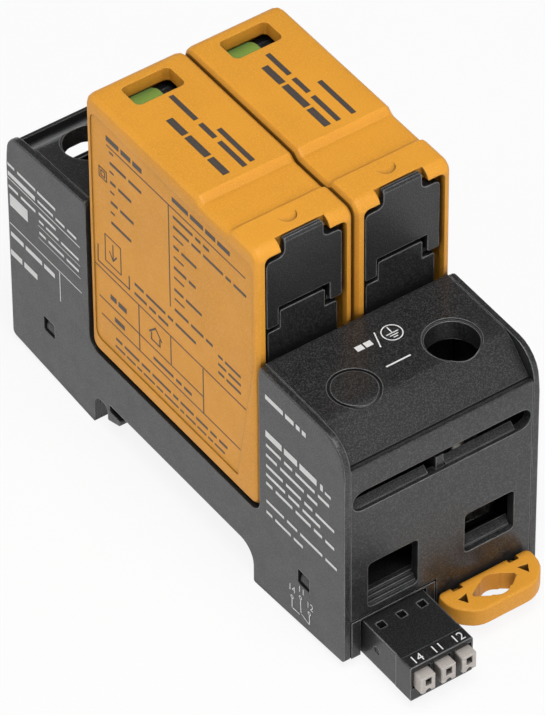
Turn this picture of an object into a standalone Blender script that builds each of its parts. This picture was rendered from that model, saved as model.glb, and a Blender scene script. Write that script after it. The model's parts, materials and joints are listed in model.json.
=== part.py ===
"""Two pole surge arrester with plug-in modules, for a 35 mm mounting rail.

Sizes are in millimetres and become metres when a mesh is made. The origin is
the middle of the face that seats on the rail. +X runs across the poles, +Y
runs from the earth terminal end to the line terminal end, +Z leaves the rail.
"""

import math

import bmesh
import bpy
from mathutils import Vector

MM = 0.001

# Rail and overall sizes
RAIL_WIDTH = 35.0
RAIL_LIP = 1.0
POLES = 2
MODULE_WIDTH = 18.0
BASE_LENGTH = 90.0
FOOT_DROP = 6.9
END_DROP = 5.2
NEAR_DECK_Z = 40.0
FAR_DECK_Z = 38.8
FAR_DECK_FALL = 1.4
NEAR_FACE_Z = 34.65
FAR_FACE_Z = 35.0
DECK_CREASE_RADIUS = 4.0
PLATFORM_Z = 8.9
RECESS_WALL_Y = RAIL_WIDTH / 2 + 3.7
RECESS_FILLET = 3.6
NEAR_RIM_RADIUS = 5.2
FAR_RIM_RADIUS = 3.8

# Plug-in module
MODULE_LENGTH = 45.4
MODULE_TOP_Z = 62.0
MODULE_EDGE = 1.4
MODULE_CORNER = 2.2
MODULE_WALL = 1.2
MODULE_ROOF = 1.4
FINGER_GROOVE_DEPTH = 0.9
FINGER_GROOVE_FAR_Y = -6.8
FINGER_GROOVE_NEAR_Y = -15.9
FINGER_GROOVE_RAMP = 1.1
FRONT_OPENING = MODULE_WIDTH - 3.1
FRONT_OPENING_TOP_Z = 60.4
LIP_NOTCH = FRONT_OPENING - 6.0
LIP_NOTCH_DEPTH = 1.85
WINDOW_LENGTH = MODULE_WIDTH / 2 - 0.1
WINDOW_WIDTH = 4.9
WINDOW_Y = MODULE_LENGTH / 2 - 5.4
WINDOW_COLLAR = 1.1
THUMB_MARK_RADIUS = 1.6
THUMB_MARK_SLANT = 26.0
THUMB_MARK_Y = -MODULE_LENGTH / 2 + 5.1
LABEL_DEPTH = 0.2
LABEL_MARGIN = 1.6

# Latch lever
LEVER_PANEL = 1.4
LEVER_INSET = 0.5
LEVER_SIDE_GAP = 0.6
LEVER_TOP_GAP = 1.5
LEVER_FOOT_GAP = 1.4
LEVER_BEVEL = 0.45
LEVER_FILLET = 1.1
LEVER_PIVOT_Y = -MODULE_LENGTH / 2 + 2.5
LEVER_PIVOT_Z = 46.0
LEVER_PIN_RADIUS = 0.9
LEVER_LIP = LIP_NOTCH - 1.9
LEVER_LIP_Z = 62.0
LEVER_LIP_THICKNESS = 0.9
LEVER_ARM = LIP_NOTCH - 4.5
LATCH_NOSE_Z = 35.9
LATCH_NOSE = 1.8

# Insert that closes the module
INSERT_WALL = 1.2
INSERT_FLOOR = 1.8
INSERT_PANEL_Z = 44.2
INSERT_PANEL = 1.1
INSERT_INSET = LEVER_INSET + 0.5
INSERT_SIDE_GAP = 1.1
INSERT_TAB = LIP_NOTCH - 0.7
INSERT_TAB_Z = 47.7
INSERT_SHELF_Z = 57.6
INSERT_SHELF_LENGTH = 24.0

# Varistor, trip slider and contacts of a module
VARISTOR_LENGTH = MODULE_LENGTH - 13.4
VARISTOR_HEIGHT = 30.0
VARISTOR_THICKNESS = MODULE_WIDTH / 3
VARISTOR_Z = 18.0
BLADE_PITCH = MODULE_LENGTH - 15.4
BLADE_WIDTH = 6.0
BLADE_THICKNESS = 1.0
BLADE_TAB_Z = 34.0
FLAG_TOP_Z = 59.2
FLAG_WIDTH = MODULE_WIDTH - 10.6
FLAG_SIDE_X = -MODULE_WIDTH / 2 + 4.0
FLAG_NEAR_Y = 2.0
FLAG_FAR_Y = WINDOW_Y + WINDOW_WIDTH / 2 + 0.45
TRIP_TRAVEL = 6.0
SPRING_RADIUS = 1.1
SPRING_WIRE = 0.4
SPRING_TURNS = 6
SPRING_LENGTH = 5.4
SIGNAL_PIN_RADIUS = 0.8
SIGNAL_PIN_TRAVEL = 0.5

# Base housing
COVER_THICKNESS = 1.1
COVER_SEAM = 0.1
COVER_EDGE = 0.35
WALL = 1.6
WEB = 1.4
TERMINAL_PITCH = MODULE_WIDTH
TERMINAL_SHIFT = 1.0
ENTRY_LOW_Z = 5.4
ENTRY_HIGH_Z = 13.6
ENTRY_STEP = 0.6
ENTRY_RISE = 0.5
STAIR_DROP = 1.1
DECK_LIP = 0.8
DECK_GROOVE = 0.45
HOLE_COLLAR = 2.5
HOLE_RIM = 0.35
BLANK_GROOVE = 0.45
COMB_SLOT_LOW_Z = 25.6
COMB_SLOT_HIGH_Z = 29.6
SNAP_INSET = 10.6
SNAP_Z = 3.9
SNAP_SIZE = 3.0

# Clamp and busbars
SCREW_HEAD = 3.0
SCREW_HEAD_TOP_Z = 24.6
CAGE_WIDTH = MODULE_WIDTH - 7.2
CAGE_WALL = 1.2
CAGE_BAR = 1.6
CAGE_BOTTOM_Z = 3.4
CAGE_TRAVEL = 4.0
BUSBAR_THICKNESS = 1.2
BUSBAR_Z = 14.5
CLIP_LEAF = 0.5
CLIP_HEIGHT = 3.6

# Remote signalling
PIN_PITCH = MODULE_WIDTH / 4.725
PLUG_WIDTH = 3 * PIN_PITCH + 0.2
PLUG_LENGTH = 19.0
PLUG_LOW_Z = -4.9
PLUG_HIGH_Z = 2.1
PIN_Z = -1.4
PIN_REACH = 5.8
SOCKET_TOP_Z = 3.0
SOCKET_DEPTH = 8.6
HEADER_PLATE = 1.4
HEADER_CHEEK = 6.95
HEADER_FRAME = 0.35
BUTTON_WIDTH = PIN_PITCH - 1.1
BUTTON_HEIGHT = 3.1
BUTTON_LIFT = 2.7
BUTTON_LENGTH = 6.2
BUTTON_PROUD = 1.9
BUTTON_TRAVEL = 1.2
WIRE_FUNNEL = 1.1
WIRE_FUNNEL_HEIGHT = 1.4
WIRE_FUNNEL_Z = 2.0
TEST_HOLE = 1.3
TEST_HOLE_DEPTH = 1.8
TEST_HOLE_Y = 10.2
PLUG_SIDE_STEP = 0.15
PLUG_DIMPLE_RADIUS = 0.7
PLUG_DIMPLE_Y = 8.8
PLUG_STEP_Y = 3.8
PLUG_CONTACT = 0.3
BOARD_THICKNESS = 1.0
SWITCH_LENGTH = 5.8
SWITCH_HEIGHT = 3.6
PLUNGER_RADIUS = 0.7
PLUNGER_TRAVEL = 0.4

# Rail foot
FOOT_REACH = 6.9
FOOT_TOP_Z = 0.0
FOOT_THICKNESS = 3.5
FOOT_CORNER = 3.2
FOOT_CORNER_RADIUS = 4.4
FOOT_SHIFT = 0.6
FOOT_BAR_WIDTH = MODULE_WIDTH - 6.0
FOOT_WIDTH = FOOT_BAR_WIDTH + 5.4
FOOT_BAR_TOP_Z = -1.5
FOOT_BAR = 2.0
FOOT_GRIP = 1.0
FOOT_TRAVEL = 4.0
DRIVER_HOLE_RADIUS = 2.3
DRIVER_HOLE_SPAN = 0.7 * FOOT_BAR_WIDTH

# Clearances
GAP = 0.3
SEAM = 0.2

BASE_WIDTH = POLES * MODULE_WIDTH
HOUSING_HALF = BASE_WIDTH / 2 - COVER_THICKNESS - COVER_SEAM
HALF_LENGTH = BASE_LENGTH / 2
WELL_Y = MODULE_LENGTH / 2 + GAP
MODULE_LOW_Z = PLATFORM_Z + GAP
TERMINAL_ROOM = HALF_LENGTH - WELL_Y
DECK_CREASE_Y = HALF_LENGTH - 0.29 * TERMINAL_ROOM
SNAP_Y = HALF_LENGTH - SNAP_INSET
SCREW_HOLE_RADIUS = 0.195 * TERMINAL_ROOM
BLANK_RADIUS = SCREW_HOLE_RADIUS - 0.1
SCREW_HEAD_RADIUS = SCREW_HOLE_RADIUS - 0.6
SCREW_RADIUS = 0.67 * SCREW_HEAD_RADIUS
TERMINAL_Y = HALF_LENGTH - TERMINAL_ROOM / 2 + TERMINAL_SHIFT
CAGE_LENGTH = 0.41 * TERMINAL_ROOM
ENTRY_WIDTH = CAGE_WIDTH - 1.5
BUSBAR_WIDTH = CAGE_WIDTH - 2 * CAGE_WALL - 2 * GAP
HEADER_LEFT_X = -HOUSING_HALF + 0.1
HEADER_RIGHT_X = -WEB / 2 - 0.1 - GAP
HEADER_REAR_Y = -HALF_LENGTH + SOCKET_DEPTH - GAP
PLUG_X = (HEADER_LEFT_X + HEADER_RIGHT_X) / 2
PLUG_REAR_Y = HEADER_REAR_Y - HEADER_PLATE - GAP
PLUG_FRONT_Y = PLUG_REAR_Y - PLUG_LENGTH
PIN_TIP_Y = PLUG_REAR_Y - PIN_REACH
FOOT_X = WEB / 2 + GAP + FOOT_BAR_WIDTH / 2 + FOOT_SHIFT
SMALL_ARC = math.radians(30)
LARGE_ARC = math.radians(15)

FINISHES = {
    "base_plastic": ((0.045, 0.045, 0.048), 0.55, 0.0),
    "orange_plastic": ((0.87, 0.36, 0.045), 0.48, 0.0),
    "black_plastic": ((0.022, 0.022, 0.022), 0.45, 0.0),
    "beige_plastic": ((0.66, 0.58, 0.50), 0.50, 0.0),
    "green_flag": ((0.16, 0.50, 0.10), 0.45, 0.0),
    "zinc_steel": ((0.62, 0.62, 0.60), 0.32, 1.0),
    "tinned_copper": ((0.78, 0.74, 0.68), 0.35, 1.0),
    "varistor_coating": ((0.05, 0.12, 0.30), 0.60, 0.0),
    "circuit_board": ((0.03, 0.18, 0.07), 0.50, 0.0),
}


def clear_scene():
    for thing in list(bpy.data.objects):
        bpy.data.objects.remove(thing, do_unlink=True)


def finish(name):
    material = bpy.data.materials.get(name)
    if material is None:
        colour, roughness, metallic = FINISHES[name]
        material = bpy.data.materials.new(name)
        material.use_nodes = True
        shader = material.node_tree.nodes["Principled BSDF"]
        shader.inputs["Base Color"].default_value = (*colour, 1.0)
        shader.inputs["Roughness"].default_value = roughness
        shader.inputs["Metallic"].default_value = metallic
        material.diffuse_color = (*colour, 1.0)
    return material


# Outlines

def corner_arc(before, corner, after, radius):
    """Points of the fillet at one corner, limited by the shorter side."""
    incoming = before - corner
    outgoing = after - corner
    half = incoming.angle(outgoing) / 2
    if radius <= 0 or half > math.radians(89.9):
        return [corner]
    reach = min(radius / math.tan(half), 0.49 * min(incoming.length, outgoing.length))
    radius = reach * math.tan(half)
    middle = corner + (incoming.normalized() + outgoing.normalized()).normalized() * (radius / math.sin(half))
    start = corner + incoming.normalized() * reach - middle
    end = corner + outgoing.normalized() * reach - middle
    first = math.atan2(start.y, start.x)
    sweep = (math.atan2(end.y, end.x) - first + math.pi) % (2 * math.pi) - math.pi
    step = SMALL_ARC if radius < 1.0 else LARGE_ARC
    count = max(2, math.ceil(abs(sweep) / step))
    angles = [first + sweep * i / count for i in range(count + 1)]
    return [middle + Vector((math.cos(a), math.sin(a))) * radius for a in angles]


def rounded(corners):
    """Closed outline through (a, b, radius) corners."""
    points = [Vector(c[:2]) for c in corners]
    outline = []
    for i, corner in enumerate(corners):
        outline += corner_arc(points[i - 1], points[i], points[(i + 1) % len(points)], corner[2])
    return outline


def rounded_rectangle(centre_a, centre_b, size_a, size_b, radius):
    low_a, high_a = centre_a - size_a / 2, centre_a + size_a / 2
    low_b, high_b = centre_b - size_b / 2, centre_b + size_b / 2
    return rounded([(low_a, low_b, radius), (high_a, low_b, radius), (high_a, high_b, radius),
        (low_a, high_b, radius)])


def circle(centre_a, centre_b, radius, count=32):
    angles = [2 * math.pi * i / count for i in range(count)]
    return [Vector((centre_a + radius * math.cos(a), centre_b + radius * math.sin(a))) for a in angles]


def strip_outline(path, thickness, bend=1.0):
    """Outline of a bent strip of even thickness along an open path."""
    points = [Vector(p) for p in path]
    middle = [points[0]]
    for before, corner, after in zip(points, points[1:], points[2:]):
        middle += corner_arc(before, corner, after, bend)
    middle.append(points[-1])
    left, right = [], []
    for i, point in enumerate(middle):
        ahead = middle[min(i + 1, len(middle) - 1)]
        behind = middle[max(i - 1, 0)]
        along = (ahead - behind).normalized()
        side = Vector((-along.y, along.x))
        edge = (ahead - point) if ahead != point else (point - behind)
        lean = max(0.5, abs(edge.normalized().dot(along)))
        left.append(point + side * (thickness / 2 / lean))
        right.append(point - side * (thickness / 2 / lean))
    return left + right[::-1]


# Solids, each made as an object of its own

def as_object(name, mesh_data, material=None):
    mesh = bpy.data.meshes.new(name)
    bmesh.ops.recalc_face_normals(mesh_data, faces=mesh_data.faces)
    mesh_data.to_mesh(mesh)
    mesh_data.free()
    thing = bpy.data.objects.new(name, mesh)
    bpy.context.scene.collection.objects.link(thing)
    if material:
        mesh.materials.append(finish(material))
    return thing


def prism(outline, axis, low, high, material=None, name="tool", edge=0.0, edge_sides=(True, True),
        edge_steps=3,
          edge_above=-1000.0):
    """An outline pushed along an axis, its rims above a height rounded by edge."""
    order = {"X": (2, 0, 1), "Y": (0, 2, 1), "Z": (0, 1, 2)}[axis]
    data = bmesh.new()
    caps = []
    for depth in (low, high):
        ring = []
        for point in outline:
            source = (point[0], point[1], depth)
            ring.append(data.verts.new(Vector([source[k] for k in order]) * MM))
        caps.append(data.faces.new(ring))
    count = len(outline)
    for i in range(count):
        j = (i + 1) % count
        first, second = caps[0].verts, caps[1].verts
        data.faces.new((first[i], first[j], second[j], second[i]))
    bmesh.ops.recalc_face_normals(data, faces=data.faces)
    if edge > 0:
        rims = [e for cap, wanted in zip(caps, edge_sides) if wanted for e in cap.edges]
        rims = [e for e in rims if min(v.co.z for v in e.verts) > edge_above * MM]
        bmesh.ops.bevel(data, geom=rims, offset=edge * MM, segments=edge_steps, profile=0.5,
                        affect="EDGES", clamp_overlap=False)
    return as_object(name, data, material)


def box(x, y, z, material=None, name="tool"):
    outline = [(x[0], y[0]), (x[1], y[0]), (x[1], y[1]), (x[0], y[1])]
    return prism(outline, "Z", z[0], z[1], material, name)


def cylinder(centre, radius, axis, low, high, material=None, name="tool", count=32):
    return prism(circle(centre[0], centre[1], radius, count), axis, low, high, material, name)


def turned(profile, material=None, name="tool", count=28):
    """A solid of revolution about Z, from (radius, height) points, bottom to top."""
    data = bmesh.new()
    rings = []
    for radius, height in profile:
        angles = [2 * math.pi * i / count for i in range(count)]
        rings.append([data.verts.new(Vector((radius * math.cos(a), radius * math.sin(a), height)) * MM)
            for a in angles])
    for lower, upper in zip(rings, rings[1:]):
        for i in range(count):
            j = (i + 1) % count
            data.faces.new((lower[i], lower[j], upper[j], upper[i]))
    data.faces.new(rings[0])
    data.faces.new(rings[-1])
    return as_object(name, data, material)


def coil(radius, wire, turns, length, material, name):
    """A compression spring along Y, with its first wire ring at y = 0."""
    data = bmesh.new()
    around, across = 12, 6
    rings = []
    for i in range(turns * around + 1):
        angle = 2 * math.pi * i / around
        outward = Vector((math.cos(angle), 0, math.sin(angle)))
        along = (length - wire) * i / (turns * around) + wire / 2
        middle = outward * (radius - wire / 2) + Vector((0, along, 0))
        ring = []
        for j in range(across):
            turn = 2 * math.pi * j / across
            offset = outward * math.cos(turn) + Vector((0, math.sin(turn), 0))
            ring.append(data.verts.new((middle + offset * (wire / 2)) * MM))
        rings.append(ring)
    for lower, upper in zip(rings, rings[1:]):
        for j in range(across):
            k = (j + 1) % across
            data.faces.new((lower[j], lower[k], upper[k], upper[j]))
    data.faces.new(rings[0])
    data.faces.new(rings[-1])
    return as_object(name, data, material)


def combine(body, tools, operation):
    for tool in tools:
        step = body.modifiers.new(operation.lower(), "BOOLEAN")
        step.operation = operation
        step.solver = "EXACT"
        step.object = tool
    shaped = body.evaluated_get(bpy.context.evaluated_depsgraph_get())
    mesh = bpy.data.meshes.new_from_object(shaped)
    body.modifiers.clear()
    body.data = mesh
    for tool in tools:
        bpy.data.objects.remove(tool, do_unlink=True)
    return body


def cut(body, tools):
    return combine(body, tools, "DIFFERENCE")


def join(body, tools):
    return combine(body, tools, "UNION")


def anchor(name, location, parent=None):
    """An empty on the axis of a moving group."""
    empty = bpy.data.objects.new(name, None)
    bpy.context.scene.collection.objects.link(empty)
    empty.location = Vector(location) * MM
    empty.parent = parent
    return empty


def place(thing, parent=None, location=(0, 0, 0), turn=0.0):
    thing.location = Vector(location) * MM
    thing.rotation_euler = (0, 0, turn)
    thing.parent = parent
    return thing


def copy_of(source, name, parent=None, location=(0, 0, 0), turn=0.0):
    twin = bpy.data.objects.new(name, source.data)
    bpy.context.scene.collection.objects.link(twin)
    return place(twin, parent, location, turn)


def shade(thing, angle=35):
    thing.data.shade_smooth()
    thing.data.set_sharp_from_angle(angle=math.radians(angle))
    return thing


# Base outline, seen along X

def rail_side():
    """Underside of the base: near block, rail seat, fixed hook, far block."""
    rail_edge = RAIL_WIDTH / 2
    slot_end = rail_edge + GAP
    lip_gap = RAIL_LIP + 0.5
    hook_tip = rail_edge - 2.5
    relief_low = slot_end + 0.55
    relief_high = relief_low + 3.7
    relief_top = -0.85
    return [
        (-HALF_LENGTH, -END_DROP, 0.8),
        (-RECESS_WALL_Y, -FOOT_DROP, 0.4),
        (-RECESS_WALL_Y, 0, RECESS_FILLET),
        (slot_end, 0, 0),
        (slot_end, -lip_gap, 0.2),
        (hook_tip, -lip_gap, 0.2),
        (hook_tip, -lip_gap - 1.0, 0.3),
        (relief_low, -lip_gap - 2.1, 0.2),
        (relief_low, relief_top, 1.8),
        (relief_high, relief_top, 1.8),
        (relief_high, -FOOT_DROP, 0.3),
        (HALF_LENGTH, -END_DROP, 0.8),
    ]


def cover_outline():
    """Side cover: its rims run round over both blocks."""
    saddle = MODULE_CORNER + GAP
    return rounded(rail_side() + [
        (HALF_LENGTH, FAR_DECK_Z - FAR_DECK_FALL, FAR_RIM_RADIUS),
        (WELL_Y, FAR_DECK_Z, 0.8),
        (WELL_Y, PLATFORM_Z, saddle),
        (-WELL_Y, PLATFORM_Z, saddle),
        (-WELL_Y, NEAR_DECK_Z, 0.8),
        (-HALF_LENGTH, NEAR_DECK_Z - 0.2, NEAR_RIM_RADIUS),
    ])


def deck_corners(side, deck_z, crease_z, face_z, slope_z):
    """Deck of one block from its end face inwards, side is -1 or 1."""
    lip = HALF_LENGTH - DECK_LIP
    slope = lip - DECK_GROOVE
    floor = slope_z - 0.5
    return [
        (side * HALF_LENGTH, face_z, 0.3),
        (side * lip, face_z, 0.15),
        (side * lip, floor, 0),
        (side * slope, floor, 0),
        (side * slope, slope_z, 0),
        (side * DECK_CREASE_Y, crease_z, DECK_CREASE_RADIUS),
        (side * WELL_Y, deck_z, 0.3),
    ]


def housing_outline():
    near = deck_corners(-1, NEAR_DECK_Z, NEAR_DECK_Z - 0.15, NEAR_FACE_Z, NEAR_FACE_Z + 0.1)
    far = deck_corners(1, FAR_DECK_Z, FAR_DECK_Z - FAR_DECK_FALL * 0.6, FAR_FACE_Z, FAR_FACE_Z - 0.9)
    return rounded(rail_side() + far + [(WELL_Y, PLATFORM_Z, 0.3), (-WELL_Y, PLATFORM_Z, 0.3)] + near[::-1])


def hollow_outline():
    """Inside of the perimeter wall, one open tray on each side of the web."""
    end = HALF_LENGTH - WALL
    well = WELL_Y + WALL
    near_low = RECESS_WALL_Y + WALL
    far_low = RAIL_WIDTH / 2 + GAP + 0.55 + 3.7 + WALL
    crease = DECK_CREASE_Y
    return rounded([
        (-end, -END_DROP + WALL, 0.5),
        (-near_low, -FOOT_DROP + WALL, 0.5),
        (-near_low, WALL, 0.5),
        (far_low, WALL, 0.5),
        (far_low, -FOOT_DROP + WALL, 0.5),
        (end, -END_DROP + WALL, 0.5),
        (end, FAR_FACE_Z - 0.9 - WALL, 0.5),
        (crease, FAR_DECK_Z - FAR_DECK_FALL * 0.6 - WALL, DECK_CREASE_RADIUS - WALL),
        (well, FAR_DECK_Z - WALL, 0.5),
        (well, PLATFORM_Z - WALL, 0.5),
        (-well, PLATFORM_Z - WALL, 0.5),
        (-well, NEAR_DECK_Z - WALL, 0.5),
        (-crease, NEAR_DECK_Z - WALL - 0.2, DECK_CREASE_RADIUS - WALL),
        (-end, NEAR_FACE_Z - 0.4 - WALL, 0.5),
    ])


def pole_x(pole):
    """Middle of a pole, counted from -X."""
    return (pole - (POLES - 1) / 2) * TERMINAL_PITCH


def mirrored(x, side):
    """A width range on one side of the web, ordered low to high."""
    return (x[0], x[1]) if side > 0 else (-x[1], -x[0])


def housing_ribs():
    """Ribs, guides and collars inside the trays."""
    web = WEB / 2 - 0.1
    inner_end = HALF_LENGTH - WALL + 0.1
    ribs = []
    socket_roof = (SOCKET_TOP_Z, SOCKET_TOP_Z + WEB)
    ribs.append(box((-HOUSING_HALF, -web), (-inner_end, -SNAP_Y + 2.2), socket_roof))
    channel_roof = (FOOT_BAR_TOP_Z + GAP, FOOT_BAR_TOP_Z + GAP + 1.2)
    ribs.append(box((web, HOUSING_HALF), (-inner_end, -RECESS_WALL_Y - WALL + 0.1), channel_roof))
    channel_side = FOOT_X + FOOT_BAR_WIDTH / 2 + GAP
    ribs.append(box((channel_side, channel_side + 1.2), (-inner_end, -RECESS_WALL_Y - WALL + 0.1),
                    (-END_DROP + 0.5, channel_roof[0] + 0.2)))
    low = {(-1, -1): socket_roof[0] + 0.2, (1, -1): channel_roof[0] + 0.2, (-1, 1): -END_DROP + 0.6,
        (1, 1): -END_DROP + 0.6}
    for (side, end), start in low.items():
        boss_y = (end * SNAP_Y - 1.7, end * SNAP_Y + 1.7)
        boss_x = mirrored((HOUSING_HALF - 2.2, HOUSING_HALF), side)
        ribs.append(box(boss_x, boss_y, (start, SNAP_Z + SNAP_SIZE / 2 + 0.6)))
    for side, end in ((1, -1), (-1, 1), (1, 1)):
        guide_x = mirrored((web, abs(pole_x(0)) - CAGE_WIDTH / 2 - GAP), side)
        for offset in (-3.0, 3.0):
            middle = end * TERMINAL_Y + offset
            ribs.append(box(guide_x, (middle - 0.5, middle + 0.5), (start_of_guide(end), BUSBAR_Z - 1.0)))
    return ribs


def start_of_guide(end):
    return FOOT_BAR_TOP_Z + GAP + 0.6 if end < 0 else -END_DROP + 0.8


def deck_height(end, distance):
    """Height of a deck's level part at a distance from the middle."""
    if end < 0:
        return NEAR_DECK_Z - 0.15 * (distance - WELL_Y) / (DECK_CREASE_Y - WELL_Y)
    fall = FAR_DECK_FALL * 0.6
    return FAR_DECK_Z - fall * (distance - WELL_Y) / (DECK_CREASE_Y - WELL_Y)


def entry_funnel(side, end, steps):
    """Sill inside a wire entry: a short stair, or one slope where steps is 0."""
    half = ENTRY_WIDTH / 2 + 0.4
    x = mirrored((abs(pole_x(0)) - half, abs(pole_x(0)) + half), side)
    low = ENTRY_LOW_Z - 1.0 - (0.5 if steps else 0.0)
    inner = HALF_LENGTH - WALL - 1.0
    if steps == 0:
        outer = HALF_LENGTH - 1.1
        outline = [(end * outer, low), (end * outer, ENTRY_LOW_Z + 0.25), (end * inner, ENTRY_LOW_Z + 0.9),
            (end * inner, low)]
        return [prism(outline, "X", *x)]
    pieces = []
    for i in range(steps):
        outer = HALF_LENGTH + 0.1 - ENTRY_STEP * (i + 1)
        span = sorted((end * outer, end * inner))
        pieces.append(box(x, span, (low, ENTRY_LOW_Z - STAIR_DROP + ENTRY_RISE * (i + 1))))
    return pieces


def snap_nub(side, end):
    """Slanted catch that holds a side cover in its window."""
    half = SNAP_SIZE / 2 - GAP
    proud = HOUSING_HALF + COVER_SEAM + COVER_THICKNESS - 0.35
    root = HOUSING_HALF - 0.4
    outline = [(root, SNAP_Z - half), (proud, SNAP_Z - half), (proud, SNAP_Z - 0.4 * half),
        (root + 0.7, SNAP_Z + half), (root, SNAP_Z + half)]
    outline = [(side * x, z) for x, z in outline]
    return prism(outline, "Y", end * SNAP_Y - half, end * SNAP_Y + half)


def base_housing():
    body = prism(housing_outline(), "X", -HOUSING_HALF, HOUSING_HALF, "base_plastic", "base_housing")
    hollow = hollow_outline()
    trays = [prism(hollow, "X", *mirrored((WEB / 2, HOUSING_HALF + 1), side)) for side in (-1, 1)]
    cut(body, trays)
    ribs = housing_ribs()
    for side, end in ((1, -1), (-1, 1), (1, 1)):
        top = deck_height(end, TERMINAL_Y) - WALL + 0.1
        middle = (side * abs(pole_x(0)), end * TERMINAL_Y)
        ribs.append(cylinder(middle, SCREW_HOLE_RADIUS + 0.6, "Z", top - HOLE_COLLAR, top, count=36))
    join(body, ribs)
    reach = HALF_LENGTH + 1
    inside = HALF_LENGTH - WALL - 0.5
    tools = []
    for side in (-1, 1):
        for end in (-1, 1):
            centre = (side * abs(pole_x(0)), (ENTRY_LOW_Z + ENTRY_HIGH_Z) / 2)
            drop = STAIR_DROP if (side, end) == (-1, -1) else 0.0
            window = rounded_rectangle(centre[0], centre[1] - drop / 2, ENTRY_WIDTH,
                ENTRY_HIGH_Z - ENTRY_LOW_Z + drop, 0.8)
            tools.append(prism(window, "Y", *sorted((end * inside, end * reach))))
            if (side, end) != (-1, -1):
                hole = (side * abs(pole_x(0)), end * TERMINAL_Y)
                tools.append(cylinder(hole, SCREW_HOLE_RADIUS, "Z", FAR_FACE_Z - 2, MODULE_TOP_Z, count=36))
            tools.append(blade_slot(side, end))
            tools.append(latch_pocket(side)) if end < 0 else tools.append(pin_hole(side))
    for end in (-1, 1):
        slot = rounded_rectangle(0, (COMB_SLOT_LOW_Z + COMB_SLOT_HIGH_Z) / 2, 2 * HOUSING_HALF - 0.6,
                                 COMB_SLOT_HIGH_Z - COMB_SLOT_LOW_Z, 1.9)
        tools.append(prism(slot, "Y", *sorted((end * inside, end * reach))))
    tools.append(box((-HOUSING_HALF - 1, -WEB / 2 - 0.1), (-reach, -HALF_LENGTH + SOCKET_DEPTH),
        (-FOOT_DROP - 1, SOCKET_TOP_Z)))
    tools += web_passages()
    channel_x = (FOOT_X - FOOT_BAR_WIDTH / 2 - GAP, FOOT_X + FOOT_BAR_WIDTH / 2 + GAP)
    channel_z = (FOOT_BAR_TOP_Z - FOOT_BAR - GAP, FOOT_BAR_TOP_Z + GAP)
    tools.append(box(channel_x, (-reach, -RECESS_WALL_Y + 3.0), channel_z))
    cut(body, tools)
    ring = cylinder((-abs(pole_x(0)), -TERMINAL_Y), BLANK_RADIUS, "Z", NEAR_DECK_Z - 0.2 - BLANK_GROOVE,
        NEAR_DECK_Z + 1)
    core = cylinder((-abs(pole_x(0)), -TERMINAL_Y), BLANK_RADIUS - 0.5, "Z", NEAR_DECK_Z - 2,
        NEAR_DECK_Z + 2)
    cut(ring, [core])
    rims = []
    for side, end in ((1, -1), (-1, 1), (1, 1)):
        hole = (side * abs(pole_x(0)), end * TERMINAL_Y)
        low = deck_height(end, TERMINAL_Y + end * SCREW_HOLE_RADIUS * (end > 0)) - HOLE_RIM
        rims.append(cylinder(hole, SCREW_HOLE_RADIUS + HOLE_RIM, "Z", low, MODULE_TOP_Z, count=36))
    cut(body, [ring] + rims)
    extras = entry_funnel(-1, -1, 3)
    for side, end in ((1, -1), (-1, 1), (1, 1)):
        extras += entry_funnel(side, end, 0)
    extras += [snap_nub(side, end) for side in (-1, 1) for end in (-1, 1)]
    for end in (-1, 1):
        extras += comb_ledges(end)
    join(body, extras)
    return shade(body)


def web_passages():
    """Ways through the web for the earth bar's arm and the signal board."""
    low = WALL + GAP
    arm_y = (-BLADE_PITCH / 2 - BLADE_WIDTH / 2 - 0.3, -BLADE_PITCH / 2 + BLADE_WIDTH / 2 + 0.8)
    board = SWITCH_LENGTH / 2 + 1.0 + GAP
    return [
        box((-WEB, WEB), arm_y, (WALL, low + BUSBAR_THICKNESS + GAP)),
        box((-WEB, WEB), (-board, board), (WALL, low + BOARD_THICKNESS + GAP)),
    ]


def blade_slot(side, end):
    x = side * abs(pole_x(0))
    half = BLADE_THICKNESS / 2 + GAP + 0.1
    y = end * BLADE_PITCH / 2
    reach = BLADE_WIDTH / 2 + GAP + 0.1
    return box((x - half, x + half), (y - reach, y + reach), (PLATFORM_Z - WALL - 0.5, PLATFORM_Z + 1))


def pin_hole(side):
    return cylinder((side * abs(pole_x(0)), 0), SIGNAL_PIN_RADIUS + 0.6, "Z", PLATFORM_Z - WALL - 0.5,
        PLATFORM_Z + 1, count=20)


def latch_pocket(side):
    x = side * abs(pole_x(0))
    half = LEVER_ARM / 2 + GAP + 0.2
    z = (LATCH_NOSE_Z - LATCH_NOSE / 2 - 1.2, LATCH_NOSE_Z + LATCH_NOSE / 2 + GAP)
    return box((x - half, x + half), (-WELL_Y - 1.0, -WELL_Y + 1.0), z)


def comb_ledges(end):
    """Sills inside the comb slot on both sides of the web, and the web's rib."""
    outer = HALF_LENGTH - 0.75
    inner = HALF_LENGTH - WALL - 0.2
    low = COMB_SLOT_LOW_Z - 1.2
    outline = [(end * outer, low), (end * outer, COMB_SLOT_LOW_Z + 0.15),
        (end * inner, COMB_SLOT_LOW_Z + 1.05),
        (end * inner, low)]
    reach = HOUSING_HALF - 0.3
    rib = box((-WEB / 2, WEB / 2), sorted((end * (HALF_LENGTH - 0.7), end * (HALF_LENGTH - WALL - 0.7))),
        (low, COMB_SLOT_LOW_Z + 2.5))
    return [prism(outline, "X", -reach, -WEB / 2 - 1.5), prism(outline, "X", WEB / 2 + 0.4, reach - 2.5), rib]


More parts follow.
